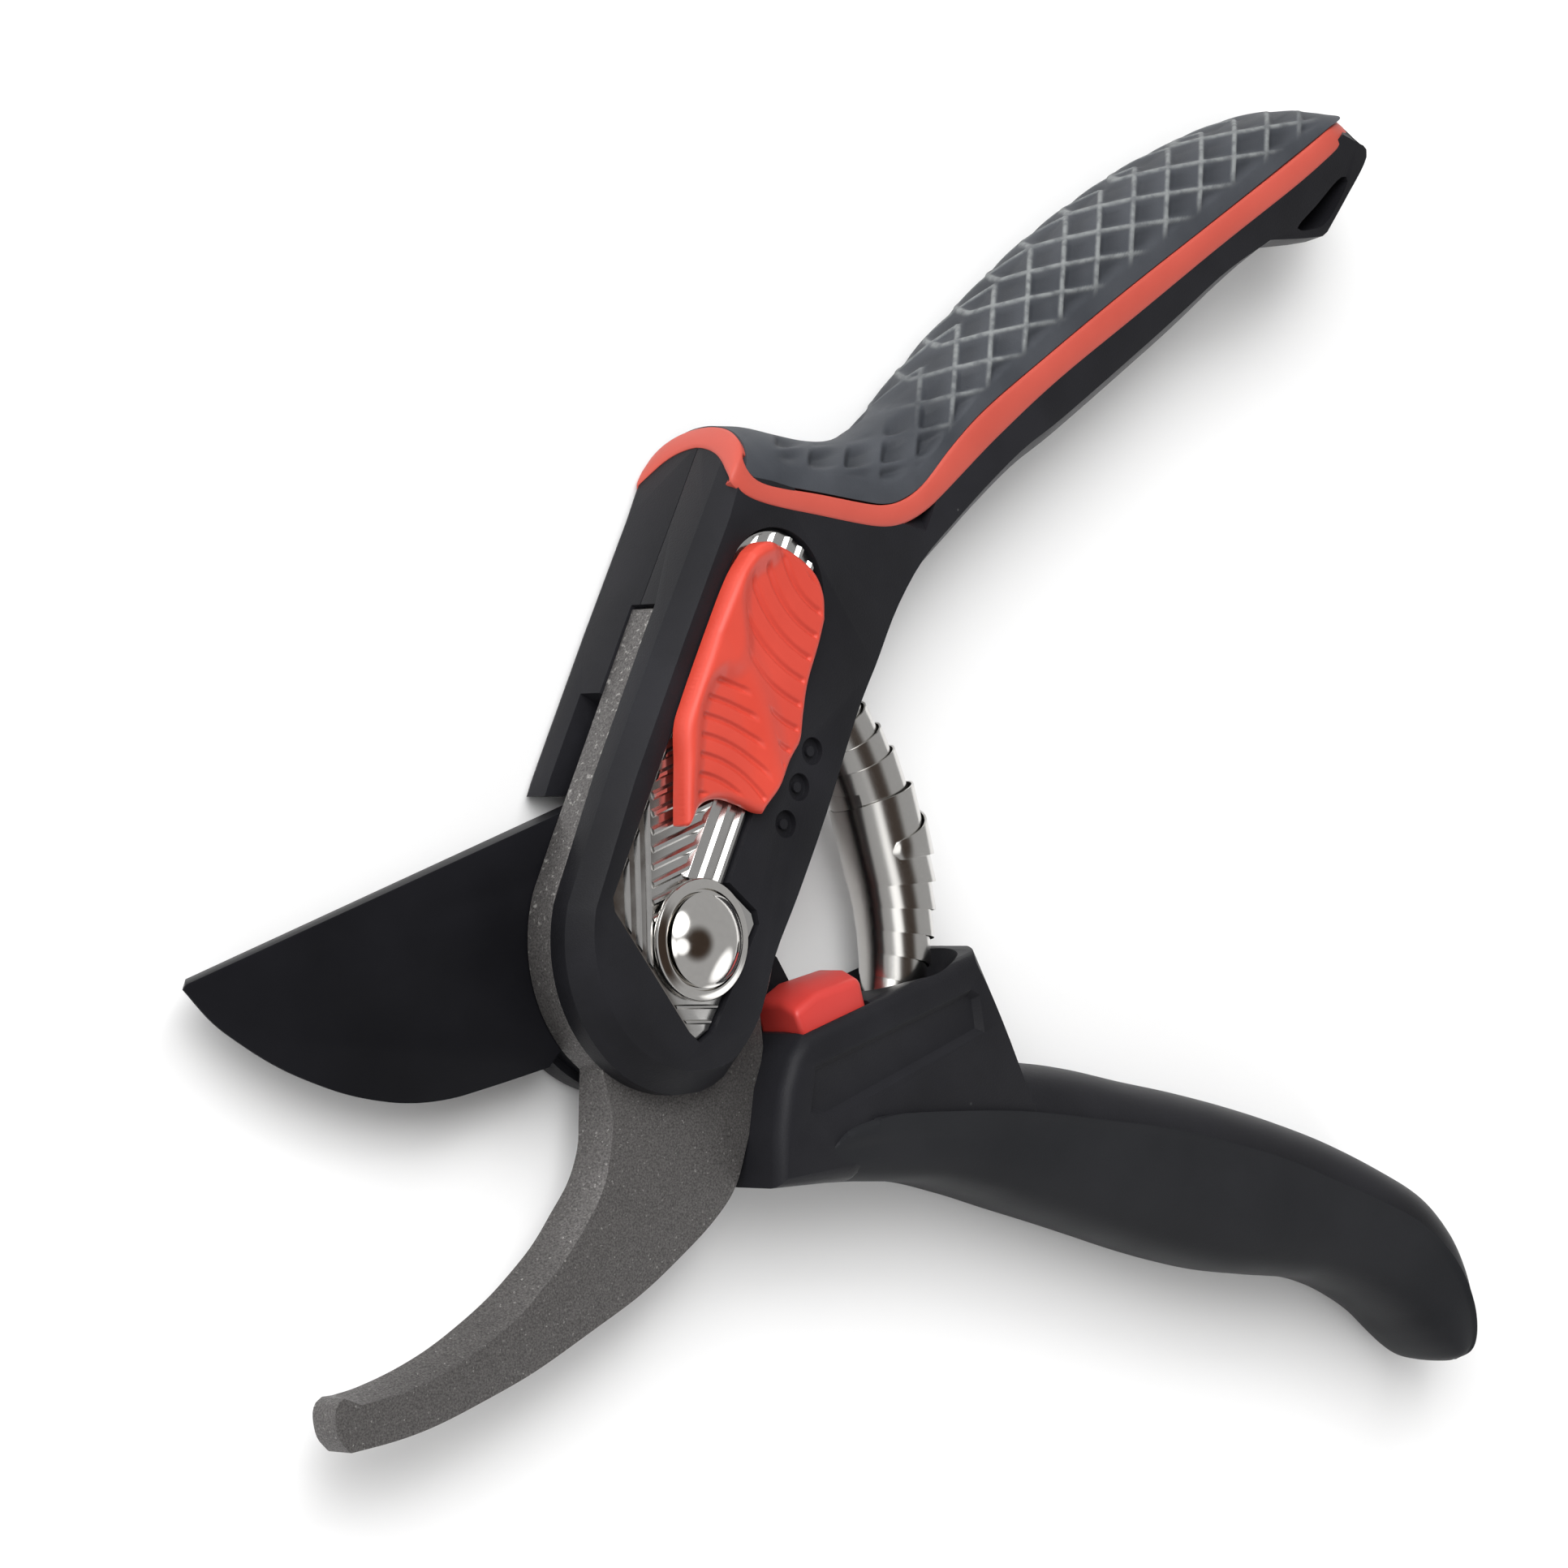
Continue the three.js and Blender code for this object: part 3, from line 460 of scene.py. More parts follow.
def stripe():
    """One ribbon round the whole handle: along the front, over the end, back and over the hump."""
    run, over = 150, 40
    top, lift = THICK - 0.3, 0.12
    inner_front = at_height(spline(STRIPE_INNER, run), THICK + lift)
    outer_front = at_height(spline(STRIPE_OUTER, run), THICK + lift)
    inner_end = spline([(107.7, 98.6, top), (110.7, 99.7, 14.6), (112.5, 99.9, 11.4),
                        (113.0, 99.8, MID)], 12)
    outer_end = spline([(105.1, 100.2, top), (107.7, 101.6, 14.6), (109.1, 102.2, 11.4),
                        (109.6, 102.4, MID)], 12)
    arch = spline(ARCH, 120)
    turn = np.linspace(0.2, math.pi / 2, over)
    height = MID + (MID + lift) * np.cos(turn)
    along = (np.interp(height, arch[:, 0], arch[:, 1])
             + np.interp(THICK - height, arch[:, 0], arch[:, 1])) / 2
    inner_hump = np.column_stack([head(np.full(over, -17.75), along), height])
    outer_hump = np.column_stack([6.5 + 2.0 * np.sin(turn) ** 2, 52.7 + 5.8 * np.sin(turn) ** 0.9,
                                  height])
    halves = []
    for end, front, hump in ((inner_end, inner_front, inner_hump), (outer_end, outer_front, outer_hump)):
        line = np.vstack([end[::-1], front[::-1][1:], hump[1:]])
        for _ in range(6):
            line[1:-1] = (line[:-2] + 2 * line[1:-1] + line[2:]) / 4
        halves.append(line)
    inner, outer = (np.vstack([half, mirrored(half)[::-1][1:-1]]) for half in halves)
    across = outer - inner
    out = unit(np.cross(np.roll(inner, -1, axis=0) - np.roll(inner, 1, axis=0), across))
    if out[run // 2, 2] < 0:
        out = -out
    rounding = [(0.0, -1.3), (0.0, -0.2), (0.05, -0.05), (0.14, 0.06), (0.5, 0.16), (0.86, 0.06),
                (0.95, -0.05), (1.0, -0.2), (1.0, -1.3)]
    rings = np.stack([inner + across * share + out * rise for share, rise in rounding], axis=1)
    return loft("grip_stripe", list(rings), closed=True)


# Edge at the stripe, outermost line half way through the thickness.
PAD_SECTIONS = [
    ((6.9, 53.1), (8.6, 58.5)), ((9.3, 51.8), (12.6, 58.6)), ((14.2, 51.35), (16.8, 58.1)),
    ((19.5, 50.9), (21.4, 57.6)), ((24.5, 50.4), (25.5, 57.6)), ((28.4, 50.15), (28.8, 58.1)),
    ((31.4, 50.8), (31.4, 59.0)), ((35.0, 52.9), (34.0, 60.4)), ((39.5, 57.4), (37.4, 62.7)),
    ((45.0, 62.1), (42.4, 67.1)), ((55.0, 68.8), (51.2, 74.9)), ((68.6, 77.6), (63.8, 84.9)),
    ((83.0, 86.5), (78.0, 93.4)), ((92.0, 92.1), (88.6, 98.2)), ((97.4, 95.5), (96.2, 101.0)),
    ((102.0, 98.4), (103.2, 102.7)), ((105.1, 100.4), (109.4, 102.5)),
]


def squared(wave, squareness):
    """A sine or cosine drawn out from a circle's towards a square's."""
    return np.sign(wave) * np.abs(wave) ** (2 / squareness)


def smooth_step(x, low, high):
    t = np.clip((x - low) / (high - low), 0, 1)
    return t * t * (3 - 2 * t)


RIDGE_HEIGHT = 0.16
HOLLOW_DEPTH, END_HOLLOW_DEPTH = 0.42, 0.85


def diamond_relief(places):
    """Height of the grip's pattern and where its ridges are. Two sets of slanting lines, alike on
    both sides of the handle, bound hollow cells that are deepest beside their left ridge."""
    x, y = places[..., 0], places[..., 1]
    z = MID + np.abs(places[..., 2] - MID)
    steep = 0.176 * x - 0.0136 * y + 0.175 * z
    level = 0.0433 * x - 0.2858 * y + 0.0496 * z + 0.603
    across, down = steep % 1, level % 1
    to_steep = np.minimum(across, 1 - across) / 0.248
    to_level = np.minimum(down, 1 - down) / 0.293
    ridge = np.maximum(1 - smooth_step(to_steep, 0.12, 0.42), 1 - smooth_step(to_level, 0.10, 0.38))
    hollow = smooth_step(across, 0.0, 0.22) * (1 - smooth_step(across, 0.3, 1.05))
    hollow = hollow * smooth_step(down, 0.0, 0.35) * (1 - smooth_step(down, 0.72, 1.0))
    return ridge, hollow


def soft_grip():
    """The soft grip, a bent half pipe with a raised diamond pattern on its outer side."""
    stations, around = 520, 150
    edges = spline([a for a, _ in PAD_SECTIONS], stations)
    crowns = spline([b for _, b in PAD_SECTIONS], stations)
    turn = np.linspace(0.0, math.pi, around)
    squareness = 2.0 + 0.55 * smooth_step(np.linspace(0, 1, stations), 0.12, 0.4)[:, None]
    out = squared(np.sin(turn), squareness)
    level = squared(np.cos(turn), squareness)
    surface = np.empty((stations, around, 3))
    surface[:, :, :2] = edges[:, None, :] + (crowns - edges)[:, None, :] * out[:, :, None]
    surface[:, :, 2] = MID + (MID - 0.05) * level
    s = np.concatenate([[0], np.cumsum(np.linalg.norm(np.diff(crowns, axis=0), axis=1))])
    step = np.linalg.norm(np.diff(surface, axis=1), axis=2)
    w = np.concatenate([np.zeros((stations, 1)), np.cumsum(step, axis=1)], axis=1)
    normal = unit(np.cross(np.gradient(surface, axis=1), np.gradient(surface, axis=0)))
    if normal[stations // 2, around // 2, 1] < 0:
        normal = -normal
    from_edge = np.minimum(w, w[:, -1:] - w)
    ridge, hollow = diamond_relief(surface)
    s = np.broadcast_to(s[:, None], w.shape)
    full = smooth_step(s, 26, 42) * smooth_step(s[-1, 0] - s, 3, 12) * smooth_step(from_edge, 2.0, 4.4)
    beside = np.maximum(full, smooth_step(np.abs(surface[..., 2] - MID), 2.0, 5.0))
    near_ends = smooth_step(s, 4, 9) * smooth_step(s[-1, 0] - s, 2, 8)
    dented = beside * near_ends * smooth_step(from_edge, 2.4, 4.4)
    depth = HOLLOW_DEPTH * full + END_HOLLOW_DEPTH * (1 - full)
    height = RIDGE_HEIGHT * ridge * full - depth * hollow * dented
    surface = surface + normal * height[..., None]
    obj = loft("soft_grip", list(surface), smooth_under=math.radians(70))
    # The ridges' and the dents' shares go to the material, which paints the ridges paler and the dents
    # darker as painted shade.
    add_shade(obj, "ridge", (ridge * full).ravel())
    add_shade(obj, "hollow", (hollow * dented).ravel())
    return obj


def add_shade(obj, name, values):
    """Stores a number at each point for the material to use."""
    layer = obj.data.attributes.new(name, "FLOAT", "POINT")
    full = np.zeros(len(obj.data.vertices), np.float32)
    full[:len(values)] = values
    layer.data.foreach_set("value", full)


# ---- lower handle ---------------------------------------------------------------------------

STATIONS = 200
COVER_SINK = 0.7                 # how deep the hard part lies under the cover
COVER_PROUD = 0.2                # how far the cover stands out of it, and its lip beyond that
LIP_PROUD = 0.45
SOCKET_RADIUS = 7.3
FLOOR_CLEAR = 0.02
# Upper line, lower line, squareness of the section, where the cover starts across it, depth.
LOWER_SECTIONS = [
    ((18.0, -16.0), (17.4, -27.6), 7.0, -0.98, 0.85), ((20.6, -14.8), (20.0, -27.8), 6.0, -0.42, 0.97),
    ((24.0, -14.5), (23.4, -27.7), 5.0, -0.02, 1.0), ((30.0, -14.3), (29.2, -27.7), 4.4, 0.15, 1.0),
    ((41.0, -14.3), (40.0, -28.2), 3.8, 0.20, 1.0), ((50.0, -14.3), (48.5, -29.9), 3.4, 0.26, 1.0),
    ((57.5, -14.6), (56.0, -31.9), 3.1, 0.30, 1.0), ((64.5, -15.4), (63.0, -33.7), 2.9, 0.34, 1.0),
    ((73.0, -16.9), (69.8, -35.5), 2.8, 0.42, 1.0), ((81.7, -18.3), (76.8, -37.4), 2.7, 0.46, 1.0),
    ((90.4, -20.0), (83.8, -39.0), 2.7, 0.46, 1.0), ((99.3, -22.1), (90.5, -40.2), 2.7, 0.45, 1.0),
    ((108.4, -24.7), (98.5, -41.0), 2.7, 0.38, 1.0), ((117.6, -28.1), (106.5, -41.7), 2.7, 0.34, 1.0),
    ((125.4, -31.6), (112.3, -43.1), 2.6, 0.33, 1.0), ((130.4, -35.8), (117.2, -45.0), 2.5, 0.33, 0.99),
    ((133.2, -40.0), (121.5, -47.2), 2.4, 0.33, 0.97), ((134.8, -44.4), (124.9, -49.6), 2.3, 0.32, 0.93),
    ((135.2, -48.4), (127.7, -51.5), 2.2, 0.30, 0.84), ((134.6, -51.2), (130.0, -52.7), 2.1, 0.30, 0.68),
    ((133.3, -52.8), (131.9, -53.1), 2.0, 0.30, 0.38),
]


def lower_lines():
    """The table drawn out smoothly, one row for each station."""
    table = np.array([[*a, *b, *rest] for a, b, *rest in LOWER_SECTIONS])
    share = np.linspace(0, 1, len(table))
    fine = np.linspace(0, 1, STATIONS)
    smooth = spline(np.column_stack([share * 1e3, table]), 1600)
    return np.column_stack([np.interp(fine, smooth[:, 0] / 1e3, smooth[:, k + 1]) for k in range(7)])


def section(row, turns, inset=0.0):
    """Points round the lower handle's section at one station."""
    upper, lower, square = row[0:2], row[2:4], row[4]
    middle, half = (upper + lower) / 2, (upper - lower) / 2
    size = np.linalg.norm(half)
    shrink = np.broadcast_to(np.maximum(size - inset, 0.05) / size, turns.shape)
    flat = middle + half * (squared(np.cos(turns), square) * shrink)[:, None]
    depth = np.maximum(MID * row[6] - inset, 0.05)
    return np.column_stack([flat, MID + depth * squared(np.sin(turns), square)])


def seam(row):
    """Angle round the section where the soft cover starts."""
    return math.acos(np.sign(row[5]) * abs(row[5]) ** (row[4] / 2))


def lower_bar():
    """The hard part of the lower handle, a little thinner where the cover lies on it."""
    rings = []
    for row in lower_lines():
        start = seam(row)
        bare = np.linspace(-start, start, 41)
        covered = np.linspace(start + 0.02, TURN - start - 0.02, 56)
        rings.append(np.vstack([section(row, bare), section(row, covered, COVER_SINK)]))
    return loft("lower_bar", rings, smooth_under=math.radians(60))


def lower_cover():
    """The soft cover over the lower side, with a rolled lip that stands proud at its edge."""
    shares = np.concatenate([[0, 0.002], np.linspace(0.008, 0.992, 112), [0.998, 1]])
    from_edge = np.minimum(shares, 1 - shares)
    rings = []
    for k, row in enumerate(lower_lines()[4:]):
        start = seam(row)
        turns = start + (TURN - 2 * start) * shares
        lip = np.exp(-(from_edge / 0.022) ** 2)
        proud = (COVER_PROUD + LIP_PROUD * lip) * smooth_step(k, 3, 16)
        proud -= 0.25 * (1 - smooth_step(k, 0, 10))
        proud[[0, -1]] = -0.25
        outside = section(row, turns, -proud)
        outside[:, 2] = np.maximum(outside[:, 2], FLOOR_CLEAR)
        rings.append(np.vstack([outside, section(row, turns, 0.78)[::-1]]))
    return loft("lower_cover", rings, smooth_under=math.radians(60))


def bumper(name, grow=0.0):
    """The buffer's shape, grown a little where it cuts its own seat."""
    face = np.array([[15.6, -8.4], [19.2, -6.2], [26.1, -4.4], [27.5, -8.3], [18.0, -12.2]])
    belly = np.array([[16.4, -7.2], [20.0, -5.0], [27.0, -3.3], [28.2, -8.6], [18.2, -12.8]])
    face, belly = moved_out(face, grow), moved_out(belly, grow)
    return stack(name, (belly, 7.3 - grow), (belly, 11.6 + grow), (face, 15.1 + grow))


def closing_bumper():
    return rounded_edges(bumper("closing_bumper_skin"), 0.9, 4, 20)


def spring_block():
    """The block with the socket: its end is round about the socket and widens downwards."""
    outline = np.array([
        [13.2, -17.0], [14.6, -13.2], [16.6, -10.7], [46.2, -0.7], [58, -0.7], [58, -22], [36, -22],
        [24, -27.6], [12.5, -28.2], [12.5, -22],
    ])
    block = rounded_prism("lower_frame", outline, 0, THICK, 1.9, 4)
    cone = rod("cone", (38.3, 1.7, MID), (38.3, -22.3, MID), 7.8, 17.9, sides=96)
    left = prism("left_part", np.array([[0, 2], [38.3, 2], [38.3, -30], [0, -30]]), -1, 20)
    return keep_inside(block, weld(left, cone))


def lower_frame():
    """The block and the bar as one, with the sunk panel, the spring's socket and the bumper's seat."""
    frame = weld(spring_block(), lower_bar())
    panel = np.array([[17.6, -14.3], [42.5, -5.7], [44.0, -6.4], [44.8, -10.8], [19.9, -20.5],
                      [16.9, -19.6]])
    cut(frame, stack("panel", (moved_out(panel, -0.8), THICK - 0.8),
                     (moved_out(panel, 0.1), THICK + 0.15)))
    cut(frame, rod("socket", np.add(on_spring_arc(4), (0.6, 0, 0)),
                   np.add(on_spring_arc(-17.2), (0.6, 0, 0)), SOCKET_RADIUS, 7.0, sides=64))
    cut(frame, bumper("bumper_seat", 0.25))
    return rounded_edges(frame, 0.45, 3, 28)


# ---- blades ---------------------------------------------------------------------------------

BORE_RADIUS = 5.8                # hole for the pivot, in both blades
HOOK_BACK, HOOK_FACE = 7.1, 11.0
HOOK_ROOT = 17.45
BLADE_BACK, BLADE_EDGE, BLADE_FACE = 4.1, 6.65, 6.9
BLADE_ROOT = 16.6
HOOK_OUTER = [
    (-45.6, -55.2), (-39.2, -54.2), (-33.5, -52.8), (-26.6, -50.4), (-19.5, -47.6), (-11.2, -43.5),
    (-3.9, -39.7), (2.2, -35.6), (7.1, -31.8), (10.4, -28.1), (12.2, -23.2), (13.7, -17.7), (14.7, -12.2),
]
HOOK_TIP = [(-46.6, -49.25), (-47.6, -50.0), (-47.9, -51.4), (-47.3, -53.6), (-45.8, -55.1)]
HOOK_BACK_EDGE = [
    (-9.9, -20.0), (-10.1, -23.3), (-11.5, -27.0), (-14.0, -30.4), (-16.7, -33.8), (-19.9, -36.8),
    (-23.5, -39.7), (-28.0, -42.6), (-32.4, -45.0), (-37.2, -47.0), (-42.0, -48.5), (-45.2, -49.15),
]
HOOK_FRONT_EDGE = [
    (-8.1, -20.2), (-8.7, -24.6), (-9.7, -28.0), (-12.4, -32.1), (-15.2, -35.4), (-18.4, -38.4),
    (-21.7, -41.3), (-26.0, -43.9), (-30.9, -46.4), (-35.3, -48.2), (-39.7, -49.3), (-44.2, -50.1),
]


def hook():
    """The hooked counter blade, bevelled on its inner edge."""
    def outline(edge):
        return joined(
            head([-HOOK_ROOT, -HOOK_ROOT], [33.0, 5.0]),
            arc(HOOK_ROOT, 162, 236, 40),
            spline(edge, 60),
            spline(HOOK_TIP, 14),
            spline(HOOK_OUTER, 80),
            arc(16.4, -30, 38, 16),
            head([5.0, -3.5, -3.5, -14.5, -14.5], [24, 32, 44.5, 44.5, 33.0]),
        )

    plate = stack("hook_plate", (outline(HOOK_BACK_EDGE), HOOK_BACK), (outline(HOOK_FRONT_EDGE), HOOK_FACE))
    cut(plate, rod("bore", (0, 0, 0), (0, 0, 20), BORE_RADIUS))
    cut(plate, head_box((-8.8, -3.6), (11.0, 23.6), 0, 20))
    return rounded_edges(plate, 0.3, 3, 26)


BLADE_BELLY = [
    (-65.3, -5.3), (-61.4, -8.8), (-57.3, -11.3), (-52.9, -13.5), (-48.4, -15.2), (-42.8, -16.8),
    (-37.1, -17.7), (-32.5, -17.85), (-27.9, -17.4), (-23.2, -16.4), (-18.5, -15.3), (-14.0, -14.2),
]
BLADE_BELLY_BACK = [
    (-62.6, -4.9), (-59.4, -6.7), (-55.8, -8.4), (-51.6, -10.0), (-47.4, -11.5), (-42.3, -12.9),
    (-36.9, -13.8), (-32.3, -14.0), (-27.7, -13.8), (-23.2, -13.4), (-18.5, -12.9), (-14.0, -12.4),
]
TANG = [(58.4, -21.6), (56.0, -19.6), (37.0, -15.4), (26.0, -12.6), (22.7, -5.0), (20.6, -2.0)]


def blade():
    """The cutting blade with its round root and its tang. The edge slopes away at the back."""
    def outline(belly, tip):
        return joined(
            np.array([tip]),
            spline(belly, 80),
            arc(BLADE_ROOT, -135, -76, 20),
            np.array([[15.4, -21.6], [36.0, -24.6], [56.6, -24.2]]),
            np.array(TANG),
            arc(14.0, 8, 14, 3),
            arc(11.6, 22, 105, 24),
            arc(17.5, 106.5, 110.2, 4),
        )

    back = outline(BLADE_BELLY_BACK, (-62.9, -4.2))
    front = outline(BLADE_BELLY, (-64.9, -4.75))
    plate = stack("blade_plate", (back, BLADE_BACK), (front, BLADE_EDGE), (front, BLADE_FACE))
    cut(plate, rod("bore", (0, 0, 0), (0, 0, 20), BORE_RADIUS))
    return rounded_edges(plate, 0.18, 2, 40)


# ---- guide plate, slider and pivot ----------------------------------------------------------

STEM_RIBS = (-4.36, -2.18, 0.0)   # ribs beside the slider's slot, across the head
RIB_STEP = 1.97
RIB_SLOPE = 0.37
PLATE_BACK, PLATE_FACE = 15.3, 15.85
RIB_FOOT, RIB_TOP = 15.8, 16.3


def rib(start, end, width, top):
    """A straight rib with sloped sides on the guide plate."""
    a, b = np.asarray(start), np.asarray(end)
    side = unit(np.array([a[1] - b[1], b[0] - a[0]])) * width / 2
    foot = np.array([a + side, b + side, b - side, a - side])
    crest = np.array([a + side * 0.35, b + side * 0.35, b - side * 0.35, a - side * 0.35])
    return stack("rib", (foot, RIB_FOOT), (crest, top))


def guide_plate():
    """The sunk plate: three long ribs on its left, slanting ones, and straight ones by the slot."""
    plate = prism("guide_plate_skin", PLATE, PLATE_BACK, PLATE_FACE)
    rounded_edges(plate, 0.14, 2, 30)
    ribs = [rib(head(across, 5.6), head(across, 47.2), 1.3, RIB_TOP) for across in STEM_RIBS]
    for across in (-10.9, -8.7, -6.5):
        ribs.append(rib(head(across, 42.6), head(across, 47.3), 1.3, RIB_TOP))
    for k in range(16):
        y = 2.2 + RIB_STEP * k
        reach = (y - 2.2) * 0.506 + 3.9
        ribs.append(rib((-6.7, y), (-6.7 + reach, y + RIB_SLOPE * reach), 1.1, RIB_TOP - 0.05))
    for x, y in ((-10.3, 9.5), (-8.8, 13.5), (-7.3, 17.5)):
        ribs.append(rib((x - 0.3, y), (x + 0.4, -6.0), 0.9, RIB_TOP - 0.05))
    for y in (-7.5, -9.2):
        ribs.append(rib((-4, y), (5, y), 0.6, RIB_TOP - 0.2))
    corner = head([1.3, 5.9, 6.75, 6.3, 3.0], [7.05, 6.0, 5.1, -1.0, -1.0])
    ribs.append(prism("corner", corner, RIB_FOOT, RIB_TOP))
    bounds = prism("bounds", moved_out(PLATE, -0.25), 15, 17)
    for other in ribs[1:]:
        weld(ribs[0], other)
    raised = keep_inside(ribs[0], bounds)
    for part in (plate, raised):
        cut(part, head_box((-7.6, -4.8), (18.9, 30.1), 14, 17))
    return join("guide_plate_skin", [plate, raised])


SLIDER_LEFT = [(-9.3, 9.7), (-10.4, 12.0), (-12.2, 16.0), (-13.9, 19.6), (-14.2, 23.0), (-14.2, 31.0),
               (-14.0, 38.0), (-13.2, 42.0)]
SLIDER_RIGHT = [(1.6, 16.4), (2.2, 20.0), (3.0, 24.4), (3.3, 26.5), (2.4, 29.6), (1.6, 33.0), (1.3, 37.5),
                (0.9, 40.6)]
SLIDER_TOP = [(-13.2, 42.0), (-12.2, 43.6), (-10.4, 44.7), (-8.0, 45.2), (-5.0, 45.2), (-2.4, 44.6),
              (-0.4, 43.0), (0.9, 40.6)]
SLIDER_ARCH = [(-9.3, 9.7), (-8.6, 10.0), (-7.9, 12.0), (-6.6, 14.0), (-4.4, 15.3), (-1.6, 15.9),
               (0.4, 16.1), (1.6, 16.4)]
RIDGE = [(-8.5, 9.6), (-10.1, 13.1), (-11.8, 17.6), (-13.2, 21.5), (-13.5, 24.3), (-13.1, 26.9),
         (-11.9, 28.9), (-10.3, 30.0), (-10.4, 32.2), (-11.6, 34.2), (-12.8, 36.4), (-13.3, 39.0),
         (-12.6, 41.4), (-10.8, 43.6)]
CREST = [(-10.4, 30.6), (-8.2, 29.8), (-5.6, 28.0), (-2.6, 25.0), (0.0, 22.0), (1.8, 20.0)]
SLIDER_LOW, SLIDER_HIGH = 16.75, 19.35
SCOOP_DEPTH = 1.05
GROOVE_DEPTH = 0.36
RIM_ROUND = 1.1


def distance_to(line, x, y):
    """Distance from places to a line given by close points."""
    tree = KDTree(len(line))
    for k, place in enumerate(line):
        tree.insert((place[0], place[1], 0), k)
    tree.balance()
    gaps = [tree.find((a, b, 0))[2] for a, b in zip(x.ravel(), y.ravel())]
    return np.array(gaps).reshape(x.shape)


def slider_height(x, y, from_rim):
    """Top of the thumb slide over the head's own axes: smooth left of its ridge, scooped and
    grooved right of it, with a crest between the upper and the lower scoop."""
    ridge_line = spline(RIDGE, 700)
    crest_line = spline(CREST, 500)
    order = np.argsort(ridge_line[:, 1])
    past = x - np.interp(y, ridge_line[order, 1], ridge_line[order, 0])
    ridge = distance_to(ridge_line, x, y) * np.sign(past)
    crest = distance_to(crest_line, x, y)
    scoop = smooth_step(ridge, -0.25, 2.6) * (0.35 + 0.65 * smooth_step(crest, 0.0, 3.4))
    height = SLIDER_HIGH - SCOOP_DEPTH * scoop - 0.05 * np.maximum(-ridge, 0) ** 1.5
    high = smooth_step(y - (31.0 - 0.75 * (x + 10)), 0.0, 1.0)
    from_top = np.hypot(x + 0.8, y - 50.8) / 2.75 % 1
    from_bolt = np.hypot((x + 5.2) * 0.8, y - 9.0) / 2.15 % 1
    clear = smooth_step(ridge, 0.9, 2.0) * smooth_step(crest, 0.7, 1.8) * smooth_step(from_rim, 0.7, 1.4)
    groove = smooth_step(from_top, 0.45, 0.62) * (1 - smooth_step(from_top, 0.70, 0.80)) * high
    groove += smooth_step(from_bolt, 0.40, 0.60) * (1 - smooth_step(from_bolt, 0.70, 0.82)) * (1 - high)
    return height - GROOVE_DEPTH * groove * clear


def patch(left, right, bottom, top, columns, rows):
    """A grid of places that fills the area inside four lines."""
    u = np.linspace(0, 1, columns)[None, :, None]
    v = np.linspace(0, 1, rows)[:, None, None]
    b, t = spline(bottom, columns)[None, :, :], spline(top, columns)[None, :, :]
    lo, hi = spline(left, rows)[:, None, :], spline(right, rows)[:, None, :]
    corners = ((1 - u) * (1 - v) * b[:, :1] + u * (1 - v) * b[:, -1:]
               + (1 - u) * v * t[:, :1] + u * v * t[:, -1:])
    return (1 - v) * b + v * t + (1 - u) * lo + u * hi - corners


def slider():
    """The thumb slide: a grid for its modelled top and a wall round it."""
    columns, rows = 130, 240
    grid = patch(SLIDER_LEFT, SLIDER_RIGHT, SLIDER_ARCH, SLIDER_TOP, columns, rows)
    x, y = grid[:, :, 0], grid[:, :, 1]
    index = np.arange(rows * columns).reshape(rows, columns)
    ring = np.concatenate([index[0], index[1:, -1], index[-1, -2::-1], index[-2:0:-1, 0]])
    rim = grid.reshape(-1, 2)[ring]
    from_rim = distance_to(spaced(np.vstack([rim, rim[:1]]), 2400), x, y)
    drop = 1 - np.clip(from_rim / RIM_ROUND, 0, 1)
    height = slider_height(x, y, from_rim) - 1.0 * (1 - np.sqrt(np.maximum(0, 1 - drop ** 2)))
    top = np.column_stack([head(x, y).reshape(-1, 2), height.ravel()])
    faces = [(index[r, c], index[r, c + 1], index[r + 1, c + 1], index[r + 1, c])
             for r in range(rows - 1) for c in range(columns - 1)]
    wall = at_height(top[ring], SLIDER_LOW)
    first = rows * columns
    count = len(ring)
    faces += [(ring[i], first + i, first + (i + 1) % count, ring[(i + 1) % count])
              for i in range(count)]
    faces.append(tuple(first + i for i in range(count)))
    return piece("thumb_slide", np.vstack([top, wall]), faces, math.radians(60))


SHANK_RADIUS = 3.85
DOME_RADIUS, DOME_FOOT, DOME_RISE = 5.15, 17.8, 2.0
NUT_ACROSS_FLATS, NUT_HEIGHT = 13, 2.6


def bolt():
    """The bolt, whose domed head is part of a ball over a short upright rim."""
    widest = 0.82
    dome = []
    for a in np.linspace(widest, 0, 22):
        rise = (math.cos(a) - math.cos(widest)) / (1 - math.cos(widest))
        dome.append((DOME_RADIUS * math.sin(a) / math.sin(widest), DOME_FOOT + DOME_RISE * rise))
    stem = [(0, 0), (SHANK_RADIUS - 0.35, 0), (SHANK_RADIUS, 0.35), (SHANK_RADIUS, 17.1),
            (DOME_RADIUS, 17.1), (5.38, 17.25), (5.38, 17.65)]
    return turned("pivot_dome", stem + dome, sides=96)


def flange():
    """The washer under the bolt's head, with a groove between its rim and the head."""
    profile = [(4.0, 16.32), (6.75, 16.32), (6.95, 16.5), (6.95, 16.8), (6.8, 17.0), (6.35, 17.1),
               (5.95, 17.32), (5.75, 17.3), (5.64, 16.9), (4.0, 16.9)]
    return turned("pivot_flange", profile, sides=96)


